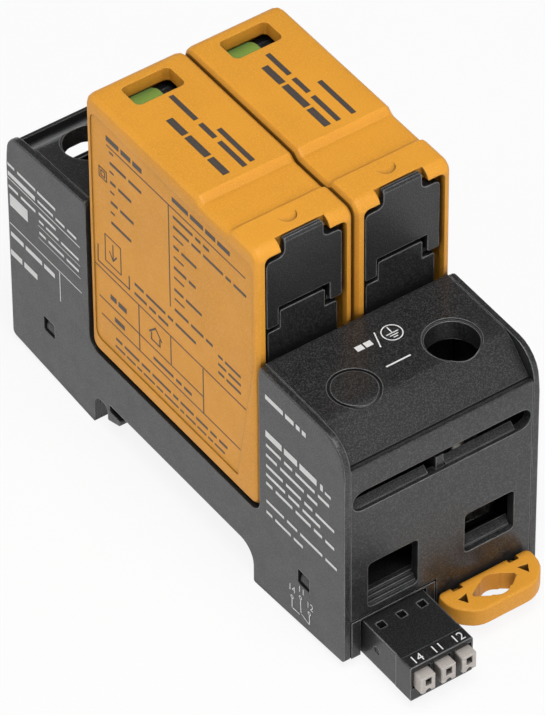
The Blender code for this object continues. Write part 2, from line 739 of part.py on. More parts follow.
def side_cover(side, name):
    x = mirrored((HOUSING_HALF + COVER_SEAM, BASE_WIDTH / 2), side)
    sides = (side < 0, side > 0)
    body = prism(cover_outline(), "X", *x, "base_plastic", name, COVER_EDGE, sides, 2, PLATFORM_Z + 4)
    span = mirrored((HOUSING_HALF, BASE_WIDTH / 2 + 1), side)
    windows = []
    for end in (-1, 1):
        window = rounded_rectangle(end * SNAP_Y, SNAP_Z, SNAP_SIZE, SNAP_SIZE, 0.3)
        windows.append(prism(window, "X", *span))
    return shade(cut(body, windows))


# Terminals, modelled about the screw axis with the wire entry towards +Y

def clamp_screw():
    head_low = SCREW_HEAD_TOP_Z - SCREW_HEAD
    tip = BUSBAR_Z + BUSBAR_THICKNESS / 2 + GAP
    body = turned([
        (SCREW_RADIUS - 0.5, tip), (SCREW_RADIUS, tip + 0.5), (SCREW_RADIUS, head_low),
        (SCREW_HEAD_RADIUS, head_low), (SCREW_HEAD_RADIUS,
            SCREW_HEAD_TOP_Z - 0.6), (SCREW_HEAD_RADIUS - 0.5, SCREW_HEAD_TOP_Z),
    ], "zinc_steel", "clamp_screw")
    deep = (SCREW_HEAD_TOP_Z - 1.6, SCREW_HEAD_TOP_Z + 1)
    long, short = SCREW_HEAD_RADIUS + 1, SCREW_HEAD_RADIUS - 1.3
    slot = box((-long, long), (-0.5, 0.5), deep)
    cross = box((-0.45, 0.45), (-short, short), (deep[0] + 0.3, deep[1]))
    return shade(cut(cut(body, [slot]), [cross]))


def clamp_cage():
    top_low = BUSBAR_Z + BUSBAR_THICKNESS / 2 + GAP + 0.2
    height = top_low + CAGE_BAR - CAGE_BOTTOM_Z
    middle = CAGE_BOTTOM_Z + height / 2
    outer = rounded_rectangle(0, middle, CAGE_WIDTH, height, 1.2)
    body = prism(outer, "Y", -CAGE_LENGTH / 2, CAGE_LENGTH / 2, "zinc_steel", "clamp_cage", 0.25,
        (True, True), 1)
    inner_height = height - 2 * CAGE_BAR
    inner = rounded_rectangle(0, middle, CAGE_WIDTH - 2 * CAGE_WALL, inner_height, 0.5)
    passage = prism(inner, "Y", -CAGE_LENGTH, CAGE_LENGTH)
    bore = cylinder((0, 0), SCREW_RADIUS + 0.1, "Z", top_low - 0.4, top_low + CAGE_BAR + 1, count=28)
    return shade(cut(body, [passage, bore]))


def busbar_path(run_y):
    """Path of a busbar from the cage, down behind it and under the modules."""
    drop_y = WELL_Y + WALL + GAP + BUSBAR_THICKNESS / 2 - TERMINAL_Y
    low_z = WALL + GAP + BUSBAR_THICKNESS / 2
    return [(CAGE_LENGTH / 2 + 0.5, BUSBAR_Z), (drop_y, BUSBAR_Z), (drop_y, low_z),
        (run_y - TERMINAL_Y, low_z)]


def line_busbar():
    run = BLADE_PITCH / 2 - BLADE_WIDTH / 2 - 0.5
    outline = strip_outline(busbar_path(run), BUSBAR_THICKNESS)
    return shade(prism(outline, "X", -BUSBAR_WIDTH / 2, BUSBAR_WIDTH / 2, "tinned_copper", "line_busbar"))


def earth_busbar():
    """Earth bar: the line bar's form with an arm across to the other pole."""
    run = BLADE_PITCH / 2 - BLADE_WIDTH / 2 - 0.5
    outline = strip_outline(busbar_path(run), BUSBAR_THICKNESS)
    body = prism(outline, "X", -BUSBAR_WIDTH / 2, BUSBAR_WIDTH / 2, "tinned_copper", "earth_busbar")
    low = WALL + GAP
    near = BLADE_PITCH / 2 + BLADE_WIDTH / 2 - TERMINAL_Y
    arm = box((-0.5, TERMINAL_PITCH + 2.6), (run - TERMINAL_Y, near), (low, low + BUSBAR_THICKNESS))
    return shade(join(body, [arm]))


def contact_clip():
    """Spring fork that grips a blade, modelled about the blade's middle."""
    low = WALL + GAP + BUSBAR_THICKNESS + GAP + CLIP_LEAF / 2
    grip = BLADE_THICKNESS / 2 + GAP + CLIP_LEAF / 2
    top = low + CLIP_HEIGHT - CLIP_LEAF
    path = [(grip + 0.5, top), (grip, top - 1.1), (grip + 0.7, low), (-grip - 0.7, low), (-grip, top - 1.1),
        (-grip - 0.5, top)]
    outline = strip_outline(path, CLIP_LEAF, 0.5)
    return shade(prism(outline, "Y", -BLADE_WIDTH / 2, BLADE_WIDTH / 2, "tinned_copper", "contact_clip"))


def build_terminals():
    screw, cage, line, clip = clamp_screw(), clamp_cage(), line_busbar(), contact_clip()
    earth = earth_busbar()
    right = abs(pole_x(0))
    spots = {"earth": (right, -1), "line_1": (-right, 1), "line_2": (right, 1)}
    for label, (x, end) in spots.items():
        turn = math.pi if end < 0 else 0.0
        axis = anchor("terminal_axis_" + label, (x, end * TERMINAL_Y, 0))
        copy_of(screw, "clamp_screw_" + label, axis, turn=turn)
        copy_of(cage, "clamp_cage_" + label, axis, turn=turn)
        if end > 0:
            copy_of(line, "busbar_" + label, axis, turn=turn)
    place(earth, None, (right, -TERMINAL_Y, 0), math.pi)
    earth.name = "busbar_earth"
    for side, across in ((-1, "left"), (1, "right")):
        for end, along in ((-1, "near"), (1, "far")):
            copy_of(clip, "contact_clip_%s_%s" % (along, across), None,
                (side * right, end * BLADE_PITCH / 2, 0))
    for pattern in (screw, cage, line, clip):
        bpy.data.objects.remove(pattern, do_unlink=True)


# Remote signalling

def signal_board():
    """Board along the left side, with an arm under both signal pins."""
    low = WALL + GAP
    left, inner = -HOUSING_HALF + 0.4, -TERMINAL_PITCH / 2 - BUSBAR_WIDTH / 2 + 0.2
    arm_x = TERMINAL_PITCH / 2 + SWITCH_LENGTH / 2 + 0.6
    half = SWITCH_LENGTH / 2 + 1.0
    start = -HALF_LENGTH + SOCKET_DEPTH + 0.6
    outline = [
        (left, start), (-WEB / 2 - GAP, start), (-WEB / 2 - GAP, -WELL_Y - 2.2), (inner, -WELL_Y - 2.2),
        (inner, -half), (arm_x, -half), (arm_x, half), (left, half),
    ]
    return prism(outline, "Z", low, low + BOARD_THICKNESS, "circuit_board", "signal_board")


def signal_switch(name, x):
    low = WALL + GAP + BOARD_THICKNESS + GAP
    half = SWITCH_LENGTH / 2
    body = box((-half, half), (-half, half), (low, low + SWITCH_HEIGHT), "black_plastic", name)
    bore = cylinder((0, 0), PLUNGER_RADIUS + GAP, "Z", low + SWITCH_HEIGHT - 2.1, low + SWITCH_HEIGHT + 1,
        count=20)
    return place(cut(body, [bore]), None, (x, 0, 0))


def switch_plunger(name, x):
    """Plunger of a signal switch, on its own axis."""
    low = WALL + GAP + BOARD_THICKNESS + GAP + SWITCH_HEIGHT - 1.3
    body = turned([(PLUNGER_RADIUS, low), (PLUNGER_RADIUS, low + 2.0), (PLUNGER_RADIUS - 0.2, low + 2.3)],
                  "beige_plastic", name, 16)
    return place(shade(body), None, (x, 0, 0))


def signal_header():
    """Back plate and two cheeks that guide the plug."""
    rear, left, right = HEADER_REAR_Y, HEADER_LEFT_X, HEADER_RIGHT_X
    z = (PLUG_LOW_Z, SOCKET_TOP_Z - GAP)
    body = box((left, right), (rear - HEADER_PLATE, rear), z, "black_plastic", "signal_header")
    front = rear - HEADER_PLATE - HEADER_CHEEK
    half = PLUG_WIDTH / 2 + GAP
    cheeks = [box((left, PLUG_X - half), (front, rear - 0.2), z),
        box((PLUG_X + half, right), (front, rear - 0.2), z)]
    frame = box((left, right), (front, rear - 0.2), (z[1] - HEADER_FRAME, z[1]))
    join(body, cheeks + [frame])
    holes = [box((x - 0.7, x + 0.7), (front, rear + 1), (PIN_Z - 0.7, PIN_Z + 0.7)) for x in pin_row()]
    return cut(body, holes)


def pin_row():
    return [PLUG_X + PIN_PITCH * i for i in (-1, 0, 1)]


def header_pin(name, x):
    bend_y = -HALF_LENGTH + SOCKET_DEPTH + 3.0
    path = [(PIN_TIP_Y, PIN_Z), (bend_y, PIN_Z), (bend_y, WALL)]
    body = prism(strip_outline(path, 0.8, 0.6), "X", -0.4, 0.4, "tinned_copper", name)
    return place(body, None, (x, 0, 0))


def plug_body():
    """Plug housing, with its origin at the middle of its front face."""
    half = PLUG_WIDTH / 2
    length = PLUG_LENGTH
    room = BUTTON_WIDTH / 2 + GAP
    hole = TEST_HOLE / 2
    outline = rounded_rectangle(0, (PLUG_LOW_Z + PLUG_HIGH_Z) / 2, PLUG_WIDTH, PLUG_HIGH_Z - PLUG_LOW_Z, 0.3)
    body = prism(outline, "Y", 0, length, "black_plastic", "signal_plug")
    tools = []
    for i in (-1, 0, 1):
        x = PIN_PITCH * i
        z = (button_low() - GAP, button_low() + BUTTON_HEIGHT + GAP)
        depth = BUTTON_LENGTH - BUTTON_PROUD + BUTTON_TRAVEL + GAP
        tools.append(box((x - room, x + room), (-1, depth), z))
        tools.append(box((x - 0.9, x + 0.9), (depth + 0.8, length + 1), (PIN_Z - 1.2, PIN_Z + 0.8)))
        tools.append(box((x - hole, x + hole), (TEST_HOLE_Y - hole, TEST_HOLE_Y + hole),
            (PLUG_HIGH_Z - TEST_HOLE_DEPTH, PLUG_HIGH_Z + 1)))
    side_z = (PLUG_LOW_Z - 1, PLUG_HIGH_Z + 1)
    for side in (-1, 1):
        x = mirrored((half - PLUG_SIDE_STEP, half + 1), side)
        tools.append(box(x, (PLUG_STEP_Y, length + 1), side_z))
        x = mirrored((half - 2 * PLUG_SIDE_STEP, half + 1), side)
        tools.append(cylinder((PLUG_DIMPLE_Y, PIN_Z), PLUG_DIMPLE_RADIUS, "X", *x, count=16))
    tools.append(box((-half - 1, half + 1), (PLUG_STEP_Y - 1.2, length + 1),
        (PLUG_HIGH_Z - 0.1, PLUG_HIGH_Z + 1)))
    return shade(cut(body, tools))


def button_low():
    return PLUG_LOW_Z + BUTTON_LIFT


def plug_button():
    """Release button with its square wire funnel."""
    half = BUTTON_WIDTH / 2
    low = button_low()
    top = low + BUTTON_HEIGHT
    front = -BUTTON_PROUD
    outline = [
        (front, low), (front + BUTTON_LENGTH, low), (front + BUTTON_LENGTH, top), (front, top),
    ]
    body = prism(outline, "X", -half, half, "beige_plastic", "plug_button", 0.15, (True, True), 1)
    wide = WIRE_FUNNEL / 2
    tall = WIRE_FUNNEL_HEIGHT / 2
    funnel_z = (low + WIRE_FUNNEL_Z - tall, low + WIRE_FUNNEL_Z + tall)
    funnel = box((-wide, wide), (front - 1, front + BUTTON_LENGTH + 1), funnel_z)
    notch = cylinder((0, low), wide, "Y", front - 1, front + 1.2, count=16)
    return cut(body, [funnel, notch])


def plug_contact():
    """Spring tongue below a header pin."""
    z = PIN_Z - 2 * PLUG_CONTACT - PLUG_CONTACT * 0.8
    start = BUTTON_LENGTH - BUTTON_PROUD + BUTTON_TRAVEL + 5 * PLUG_CONTACT
    path = [(start, z + 3 * PLUG_CONTACT), (start + 2 * PLUG_CONTACT, z), (PLUG_LENGTH - 4 * PLUG_CONTACT, z)]
    outline = strip_outline(path, PLUG_CONTACT, PLUG_CONTACT)
    return prism(outline, "X", -2 * PLUG_CONTACT, 2 * PLUG_CONTACT, "tinned_copper", "plug_contact")


def build_signalling():
    signal_board()
    right = abs(pole_x(0))
    for number, x in ((1, -right), (2, right)):
        signal_switch("signal_switch_%d" % number, x)
        switch_plunger("switch_plunger_%d" % number, x)
    signal_header()
    for number, x in enumerate(pin_row(), 1):
        header_pin("header_pin_%d" % number, x)
    axis = anchor("signal_plug_axis", (PLUG_X, PLUG_FRONT_Y, 0))
    place(plug_body(), axis)
    button, contact = plug_button(), plug_contact()
    for number, i in enumerate((-1, 0, 1), 1):
        copy_of(button, "plug_button_%d" % number, axis, (PIN_PITCH * i, 0, 0))
        copy_of(contact, "plug_contact_%d" % number, axis, (PIN_PITCH * i, 0, 0))
    for pattern in (button, contact):
        bpy.data.objects.remove(pattern, do_unlink=True)


# Rail foot

def rail_foot():
    """Sliding foot: pull handle outside, bar and latch nose inside."""
    back = -HALF_LENGTH - GAP
    front = back - FOOT_REACH
    low = FOOT_TOP_Z - FOOT_THICKNESS
    half = FOOT_WIDTH / 2
    outline = rounded([
        (-half, back, 1.0), (-half, front + FOOT_CORNER, FOOT_CORNER_RADIUS),
        (-half + FOOT_CORNER, front, FOOT_CORNER_RADIUS), (half - FOOT_CORNER, front, FOOT_CORNER_RADIUS),
        (half, front + FOOT_CORNER, FOOT_CORNER_RADIUS), (half, back, 1.0),
    ])
    body = prism(outline, "Z", low, FOOT_TOP_Z, "orange_plastic", "rail_foot", 0.5, (True, True), 2)
    nose = RAIL_WIDTH / 2 - FOOT_GRIP
    bar = [
        (back - 1, FOOT_BAR_TOP_Z - FOOT_BAR), (-nose - 1.6, FOOT_BAR_TOP_Z - FOOT_BAR),
        (-nose, FOOT_BAR_TOP_Z - 0.9), (-nose, FOOT_BAR_TOP_Z), (back - 1, FOOT_BAR_TOP_Z),
    ]
    join(body, [prism(bar, "X", -FOOT_BAR_WIDTH / 2, FOOT_BAR_WIDTH / 2)])
    middle = back - FOOT_REACH / 2
    through = (low - 1, FOOT_TOP_Z + 1)
    reach = DRIVER_HOLE_SPAN / 2
    arms = [(-reach, middle - 0.25), (-2, middle - 1.6), (2, middle - 1.6), (reach - 0.4, middle - 0.25),
        (reach - 0.4, middle + 0.25), (2, middle + 1.6), (-2, middle + 1.6), (-reach, middle + 0.25)]
    tools = [cylinder((0, middle), DRIVER_HOLE_RADIUS, "Z", *through, count=24)]
    for side in (-1, 1):
        corner = side * (reach + 1.5)
        triangle = [(corner - side * 0.9, middle + 1.0), (corner + side * 0.9, middle + 0.6),
            (corner, middle - 0.9)]
        tools.append(prism(triangle, "Z", *through))
        notch = side * 5.3
        tools.append(box((notch - 0.9, notch + 0.9), (back - 1.1, back + 1),
            (FOOT_BAR_TOP_Z + 0.2, FOOT_TOP_Z + 1)))
    cut(body, [tools[0]])
    cut(body, tools[1:] + [prism(arms, "Z", *through)])
    return place(shade(body), None, (FOOT_X, 0, 0))


# Plug-in module, modelled about its own middle plane

def module_cover():
    half_length = MODULE_LENGTH / 2
    half_width = MODULE_WIDTH / 2 - SEAM / 2
    groove_z = MODULE_TOP_Z - FINGER_GROOVE_DEPTH
    outline = rounded([
        (-half_length, MODULE_LOW_Z, MODULE_CORNER), (half_length, MODULE_LOW_Z, MODULE_CORNER),
        (half_length, MODULE_TOP_Z, MODULE_CORNER),
        (FINGER_GROOVE_FAR_Y, MODULE_TOP_Z, 0), (FINGER_GROOVE_FAR_Y - FINGER_GROOVE_RAMP, groove_z, 0.5),
        (FINGER_GROOVE_NEAR_Y + FINGER_GROOVE_RAMP, groove_z, 0.5), (FINGER_GROOVE_NEAR_Y, MODULE_TOP_Z, 0),
        (-half_length, MODULE_TOP_Z, MODULE_CORNER),
    ])
    body = prism(outline, "X", -half_width, half_width, "orange_plastic", "module_cover", MODULE_EDGE,
        (True, True), 3)
    inner_y = half_length - MODULE_WALL - 0.1
    inner_x = half_width - MODULE_WALL
    ceiling = MODULE_TOP_Z - MODULE_ROOF
    low_ceiling = groove_z - MODULE_ROOF
    step = FINGER_GROOVE_FAR_Y + 0.6
    collar_y = WINDOW_Y - WINDOW_WIDTH / 2 - MODULE_WALL
    collar_z = ceiling - WINDOW_COLLAR
    inside = [
        (-inner_y, MODULE_LOW_Z - 5), (inner_y, MODULE_LOW_Z - 5), (inner_y, collar_z), (collar_y, collar_z),
        (collar_y, ceiling), (step, ceiling), (step, low_ceiling), (-inner_y, low_ceiling),
    ]
    cut(body, [prism(inside, "X", -inner_x, inner_x)])
    window = rounded_rectangle(0.2, WINDOW_Y, WINDOW_LENGTH, WINDOW_WIDTH, 0.9)
    front = front_opening()
    tools = [prism(window, "Z", collar_z - 1, MODULE_TOP_Z + 1),
        prism(front, "Y", -half_length - 1, -inner_y + 0.5)]
    tools.append(box((-LIP_NOTCH / 2, LIP_NOTCH / 2), (-half_length - 1, -half_length + LIP_NOTCH_DEPTH),
                     (FRONT_OPENING_TOP_Z - 2, MODULE_TOP_Z + 1)))
    tools.append(pivot_bore(half_width))
    cut(body, tools)
    cut(body, [thumb_mark(), label_recess(half_width)])
    return shade(body)


def front_opening():
    """Opening at the near end, open at the foot."""
    half = FRONT_OPENING / 2
    low = MODULE_LOW_Z - 3
    return rounded([(-half, low, 0), (half, low, 0), (half, FRONT_OPENING_TOP_Z, 1.0),
        (-half, FRONT_OPENING_TOP_Z, 1.0)])


def pivot_bore(half_width):
    reach = half_width - 0.4
    return cylinder((LEVER_PIVOT_Y, LEVER_PIVOT_Z), LEVER_PIN_RADIUS + GAP, "X", -reach, reach, count=20)


def thumb_mark():
    """Half-moon dimple: a disc let in at a slant."""
    disc = cylinder((0, 0), THUMB_MARK_RADIUS, "Z", 0, 2, count=24)
    disc.rotation_euler = (math.radians(THUMB_MARK_SLANT), 0, 0)
    disc.location = Vector((0, THUMB_MARK_Y, MODULE_TOP_Z)) * MM
    bpy.context.view_layer.update()
    return disc


def label_recess(half_width):
    """Shallow field for the rating plate, its near edge slanted."""
    near_top, near_low = -MODULE_LENGTH / 2 + 1.3, -MODULE_LENGTH / 2 + 5.6
    far = MODULE_LENGTH / 2 - LABEL_MARGIN
    low, high = MODULE_LOW_Z + 3.3, MODULE_TOP_Z - 24.5
    outline = rounded([
        (near_low, low, 0.5), (far, low, 1.5), (far, MODULE_TOP_Z - 3.0, 1.5),
        (near_top, MODULE_TOP_Z - 3.0, 1.0), (near_top, high, 0.5),
    ])
    return prism(outline, "X", -half_width - 1, -half_width + LABEL_DEPTH)


def module_insert():
    """Black chassis: floor, near panel with tab, rear wall and slider shelf."""
    front = -MODULE_LENGTH / 2 + INSERT_INSET
    panel = (front, front + INSERT_PANEL)
    rear = MODULE_LENGTH / 2 - MODULE_WALL - 0.1 - GAP
    half = MODULE_WIDTH / 2 - SEAM / 2 - MODULE_WALL - GAP
    opening = FRONT_OPENING / 2 - INSERT_SIDE_GAP
    floor = (MODULE_LOW_Z + GAP, MODULE_LOW_Z + GAP + INSERT_FLOOR)
    inner_near = -MODULE_LENGTH / 2 + MODULE_WALL + 0.1 + GAP
    body = box((-half, half), (inner_near, rear), floor, "black_plastic", "module_insert")
    step = INSERT_PANEL_Z
    tab = INSERT_TAB / 2
    face = rounded([
        (-opening, floor[0], 0), (opening, floor[0], 0), (opening, step, 0.4), (tab, step, 0),
        (tab, INSERT_TAB_Z, 0.4), (-tab, INSERT_TAB_Z, 0.4), (-tab, step, 0), (-opening, step, 0.4),
    ])
    parts = [prism(face, "Y", *panel)]
    parts.append(box((-opening, opening), (panel[0] + 0.2, inner_near + 1), floor))
    parts.append(box((-half, half), (rear - INSERT_WALL, rear), (floor[0] + 0.5, INSERT_SHELF_Z)))
    parts.append(box((-half + 0.2, half - 0.2), (rear - INSERT_SHELF_LENGTH, rear - 0.2),
        (INSERT_SHELF_Z - INSERT_WALL, INSERT_SHELF_Z - 0.05)))
    join(body, parts)
    posts = []
    for y in (-0.3 * VARISTOR_LENGTH, 0.3 * VARISTOR_LENGTH):
        posts.append(box((-2.5, 2.5), (y - 0.6, y + 0.6), (floor[1] - 0.3, VARISTOR_Z - GAP)))
    spring_x = FLAG_SIDE_X + FLAG_WIDTH + 1.9
    posts.append(box((spring_x - 1.5, spring_x + 1.5), (FLAG_NEAR_Y + 7.4, FLAG_NEAR_Y + 8.6),
        (INSERT_SHELF_Z - 0.5, FLAG_TOP_Z + 0.9)))
    posts.append(box((FLAG_SIDE_X - GAP - 0.8, FLAG_SIDE_X - GAP), (FLAG_NEAR_Y - 4, FLAG_FAR_Y - 2),
        (INSERT_SHELF_Z - 0.5, FLAG_TOP_Z - 0.3)))
    join(body, posts)
    tools = []
    for end in (-1, 1):
        y = end * BLADE_PITCH / 2
        tools.append(box((-BLADE_THICKNESS / 2 - GAP, BLADE_THICKNESS / 2 + GAP),
                         (y - BLADE_WIDTH / 2 - GAP, y + BLADE_WIDTH / 2 + GAP), (floor[0] - 1,
                             floor[1] + 1)))
    tools.append(cylinder((0, 0), SIGNAL_PIN_RADIUS + GAP, "Z", floor[0] - 1, floor[1] + 1, count=20))
    nose_room = LEVER_ARM / 2 + GAP
    tools.append(box((-nose_room, nose_room), (panel[0] - 1, panel[1] + 0.1),
                     (LATCH_NOSE_Z - LATCH_NOSE / 2 - 0.9, LATCH_NOSE_Z + LATCH_NOSE / 2 + 0.5)))
    return shade(cut(body, tools))


def latch_lever():
    """Release lever about its pins: panel with lip, legs, arm and latch nose."""
    face = -MODULE_LENGTH / 2 + LEVER_INSET - LEVER_PIVOT_Y
    back = face + LEVER_PANEL
    half = FRONT_OPENING / 2 - LEVER_SIDE_GAP
    tab = INSERT_TAB / 2 + LEVER_SIDE_GAP
    low = INSERT_PANEL_Z + LEVER_FOOT_GAP - LEVER_PIVOT_Z
    notch = INSERT_TAB_Z + LEVER_FOOT_GAP - LEVER_PIVOT_Z
    top = FRONT_OPENING_TOP_Z - LEVER_TOP_GAP - LEVER_PIVOT_Z
    lip = LEVER_LIP / 2
    lip_z = LEVER_LIP_Z - LEVER_PIVOT_Z
    panel = rounded([
        (-half, low, 0.3), (-tab, low, 0.3), (-tab, notch, 0.2), (tab, notch, 0.2), (tab, low, 0.3),
        (half, low, 0.3), (half, top, 0.9), (lip, top, LEVER_FILLET), (lip, lip_z, 0.4),
        (-lip, lip_z, 0.4), (-lip, top, LEVER_FILLET), (-half, top, 0.9),
    ])
    body = prism(panel, "Y", face, back, "black_plastic", "latch_lever")
    bevel = [(face - 0.1, lip_z - LEVER_BEVEL - 0.1), (face + LEVER_BEVEL, lip_z + 0.1),
        (face - 0.1, lip_z + 0.1)]
    relief = box((-half, half), (face + LEVER_LIP_THICKNESS, back + 1), (top + 0.3, lip_z + 1))
    cut(body, [prism(bevel, "X", -half, half), relief])
    arm_front = -MODULE_LENGTH / 2 + INSERT_INSET + INSERT_PANEL + GAP - LEVER_PIVOT_Y
    arm_back = arm_front + 1.1
    arm_low = LATCH_NOSE_Z - LATCH_NOSE / 2 - LEVER_PIVOT_Z
    arm_high = notch + 2.2
    tip = -MODULE_LENGTH / 2 - 0.15 - LEVER_PIVOT_Y
    arm = [
        (arm_front, arm_high), (back - 0.4, arm_high + 0.2), (back - 0.4, notch + 0.3), (arm_front,
            notch + 0.2), (arm_front, arm_low + LATCH_NOSE),
        (tip, arm_low + LATCH_NOSE), (tip, arm_low + 1.0), (arm_front, arm_low), (arm_back, arm_low),
        (arm_back, arm_high),
    ]
    pins = cylinder((0, 0), LEVER_PIN_RADIUS, "X", half - 0.5, MODULE_WIDTH / 2 - SEAM / 2 - 0.4 - GAP,
        count=16)
    twin = cylinder((0, 0), LEVER_PIN_RADIUS, "X", -(MODULE_WIDTH / 2 - SEAM / 2 - 0.4 - GAP), -half + 0.5,
        count=16)
    ear_low = INSERT_PANEL_Z + GAP + 0.2 - LEVER_PIVOT_Z
    ears = [box(mirrored((tab + 0.1, half - 0.1), side), (back - 0.3, LEVER_PIN_RADIUS + 0.4),
        (ear_low, LEVER_PIN_RADIUS + 0.4)) for side in (-1, 1)]
    join(body, [prism(arm, "X", -LEVER_ARM / 2, LEVER_ARM / 2)] + ears)
    return shade(join(body, [pins, twin]))


def varistor():
    half = VARISTOR_LENGTH / 2
    outline = rounded_rectangle(0, VARISTOR_Z + VARISTOR_HEIGHT / 2, 2 * half, VARISTOR_HEIGHT, 4.0)
    thick = VARISTOR_THICKNESS / 2
    return shade(prism(outline, "X", -thick, thick, "varistor_coating", "varistor", 1.0, (True, True), 2))


def contact_blade():
    """Blade of the near end: its tab lies on the varistor's left face."""
    tip = WALL + 2 * GAP + BUSBAR_THICKNESS + CLIP_LEAF + GAP
    tab_x = -VARISTOR_THICKNESS / 2 - GAP - BLADE_THICKNESS / 2
    floor = MODULE_LOW_Z + GAP + INSERT_FLOOR
    path = [(0, tip), (0, floor + 1.2), (tab_x, VARISTOR_Z - 1.2), (tab_x, BLADE_TAB_Z)]
    outline = strip_outline(path, BLADE_THICKNESS, 1.0)
    return shade(prism(outline, "Y", -BLADE_WIDTH / 2, BLADE_WIDTH / 2, "tinned_copper", "contact_blade"))


def trip_slider():
    """Sliding flag that shows in the window, with its spring lug."""
    low = INSERT_SHELF_Z + GAP
    right = FLAG_SIDE_X + FLAG_WIDTH
    outline = rounded([
        (FLAG_SIDE_X, FLAG_NEAR_Y, 0.3), (right, FLAG_NEAR_Y, 0.3), (right, FLAG_FAR_Y, 1.6), (FLAG_SIDE_X,
            FLAG_FAR_Y, 0.3),
    ])
    body = prism(outline, "Z", low, FLAG_TOP_Z, "green_flag", "trip_slider", 0.2, (False, True), 1)
    lug = box((right - 0.5, right + 3.4), (FLAG_NEAR_Y + 0.1, FLAG_NEAR_Y + 1.3),
        (low + 0.1, FLAG_TOP_Z + 0.9))
    return join(body, [lug])


def signal_pin():
    tip = PLATFORM_Z - 0.4
    floor = MODULE_LOW_Z + GAP + INSERT_FLOOR
    collar = floor + GAP + SIGNAL_PIN_TRAVEL
    head = SIGNAL_PIN_RADIUS + 0.7
    return shade(turned([
        (SIGNAL_PIN_RADIUS - 0.2, tip), (SIGNAL_PIN_RADIUS, tip + 0.3), (SIGNAL_PIN_RADIUS, collar),
        (head, collar), (head, collar + 1.0), (SIGNAL_PIN_RADIUS, collar + 1.0), (SIGNAL_PIN_RADIUS,
            collar + 2.2),
    ], "beige_plastic", "signal_pin", 18))


def build_modules():
    patterns = [module_cover(), module_insert(), varistor(), signal_pin()]
    blade, slider, lever = contact_blade(), trip_slider(), latch_lever()
    spring_x = FLAG_SIDE_X + FLAG_WIDTH + 1.9
    spring_z = INSERT_SHELF_Z + GAP + SPRING_RADIUS
    spring = shade(coil(SPRING_RADIUS, SPRING_WIRE, SPRING_TURNS, SPRING_LENGTH, "zinc_steel", "trip_spring"))
    for pole in range(POLES):
        prefix = "module_%d_" % (pole + 1)
        group = anchor(prefix + "seat", ((pole - (POLES - 1) / 2) * MODULE_WIDTH, 0, 0))
        for pattern in patterns:
            copy_of(pattern, prefix + pattern.name.replace("module_", ""), group)
        copy_of(blade, prefix + "blade_near", group, (0, -BLADE_PITCH / 2, 0))
        copy_of(blade, prefix + "blade_far", group, (0, BLADE_PITCH / 2, 0), math.pi)
        copy_of(slider, prefix + "trip_slider", group)
        copy_of(spring, prefix + "trip_spring", group, (spring_x, FLAG_NEAR_Y + 1.3 + GAP, spring_z))
        pivot = anchor(prefix + "lever_pivot", (0, LEVER_PIVOT_Y, LEVER_PIVOT_Z), group)
        copy_of(lever, prefix + "latch_lever", pivot)
    for pattern in patterns + [blade, slider, spring, lever]:
        bpy.data.objects.remove(pattern, do_unlink=True)


def main():
    clear_scene()
    base_housing()
    side_cover(-1, "side_cover_left")
    side_cover(1, "side_cover_right")
    build_terminals()
    build_signalling()
    rail_foot()
    build_modules()


main()
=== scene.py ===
"""Looks of a rail-mounted surge arrester: moulded base, two plug-in modules, signalling plug.

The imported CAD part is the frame. This script gives every node its material, adds the flat
print, and sets up the floor, the light and the camera. Lengths are in metres and angles in
degrees, and what is drawn on a sheet of print is measured in millimetres.
"""
import json
import math

import bmesh
import bpy
from mathutils import Matrix, Vector


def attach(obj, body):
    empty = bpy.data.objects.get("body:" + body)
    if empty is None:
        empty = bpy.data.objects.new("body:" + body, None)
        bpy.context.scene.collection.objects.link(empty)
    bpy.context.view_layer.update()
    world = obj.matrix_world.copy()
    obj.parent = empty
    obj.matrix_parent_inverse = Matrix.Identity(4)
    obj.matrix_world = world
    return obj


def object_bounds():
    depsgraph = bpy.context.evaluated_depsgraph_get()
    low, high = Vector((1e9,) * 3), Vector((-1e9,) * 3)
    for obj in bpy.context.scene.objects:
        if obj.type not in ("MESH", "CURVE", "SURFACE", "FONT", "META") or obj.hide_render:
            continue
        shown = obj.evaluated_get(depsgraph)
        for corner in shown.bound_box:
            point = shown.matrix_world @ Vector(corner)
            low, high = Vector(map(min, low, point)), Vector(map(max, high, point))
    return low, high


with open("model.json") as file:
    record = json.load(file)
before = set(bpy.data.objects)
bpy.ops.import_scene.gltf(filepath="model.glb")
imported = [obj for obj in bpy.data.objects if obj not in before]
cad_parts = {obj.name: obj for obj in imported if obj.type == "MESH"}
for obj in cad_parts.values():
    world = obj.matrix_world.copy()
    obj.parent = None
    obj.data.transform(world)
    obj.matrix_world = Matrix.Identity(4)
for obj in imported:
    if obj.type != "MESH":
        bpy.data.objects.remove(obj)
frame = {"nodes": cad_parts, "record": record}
cad_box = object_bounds()

MM = 0.001

# Picture
PICTURE_HEIGHT = 715
FOCAL_PIXELS = 7177
SENSOR = 36.0
CLIP_START = 0.05
CLIP_END = 20.0
VIEW_AZIMUTH = -34.97
VIEW_ELEVATION = 43.61
VIEW_ROLL = -0.47
VIEW_DISTANCE = 1117 * MM
VIEW_TARGET = Vector((4.46, 5.43, 7.35)) * MM

# Square soft boxes: name, azimuth, elevation, distance, side and watts
LAMPS = (("key", -20, 68, 0.9, 0.55, 6.7),
         ("left_fill", -100, 30, 0.9, 0.6, 1.2),
         ("front_fill", 10, 28, 1.0, 0.5, 1.3))

# Floor and backdrop
FLOOR_HALF = 4.0
FLOOR_TONE = (0.86, 0.86, 0.86)
FLOOR_ROUGHNESS = 0.9
# How much of the floor that the camera and mirrors see is plain white. The rest has shadows
WHITE_SHARE = 0.88
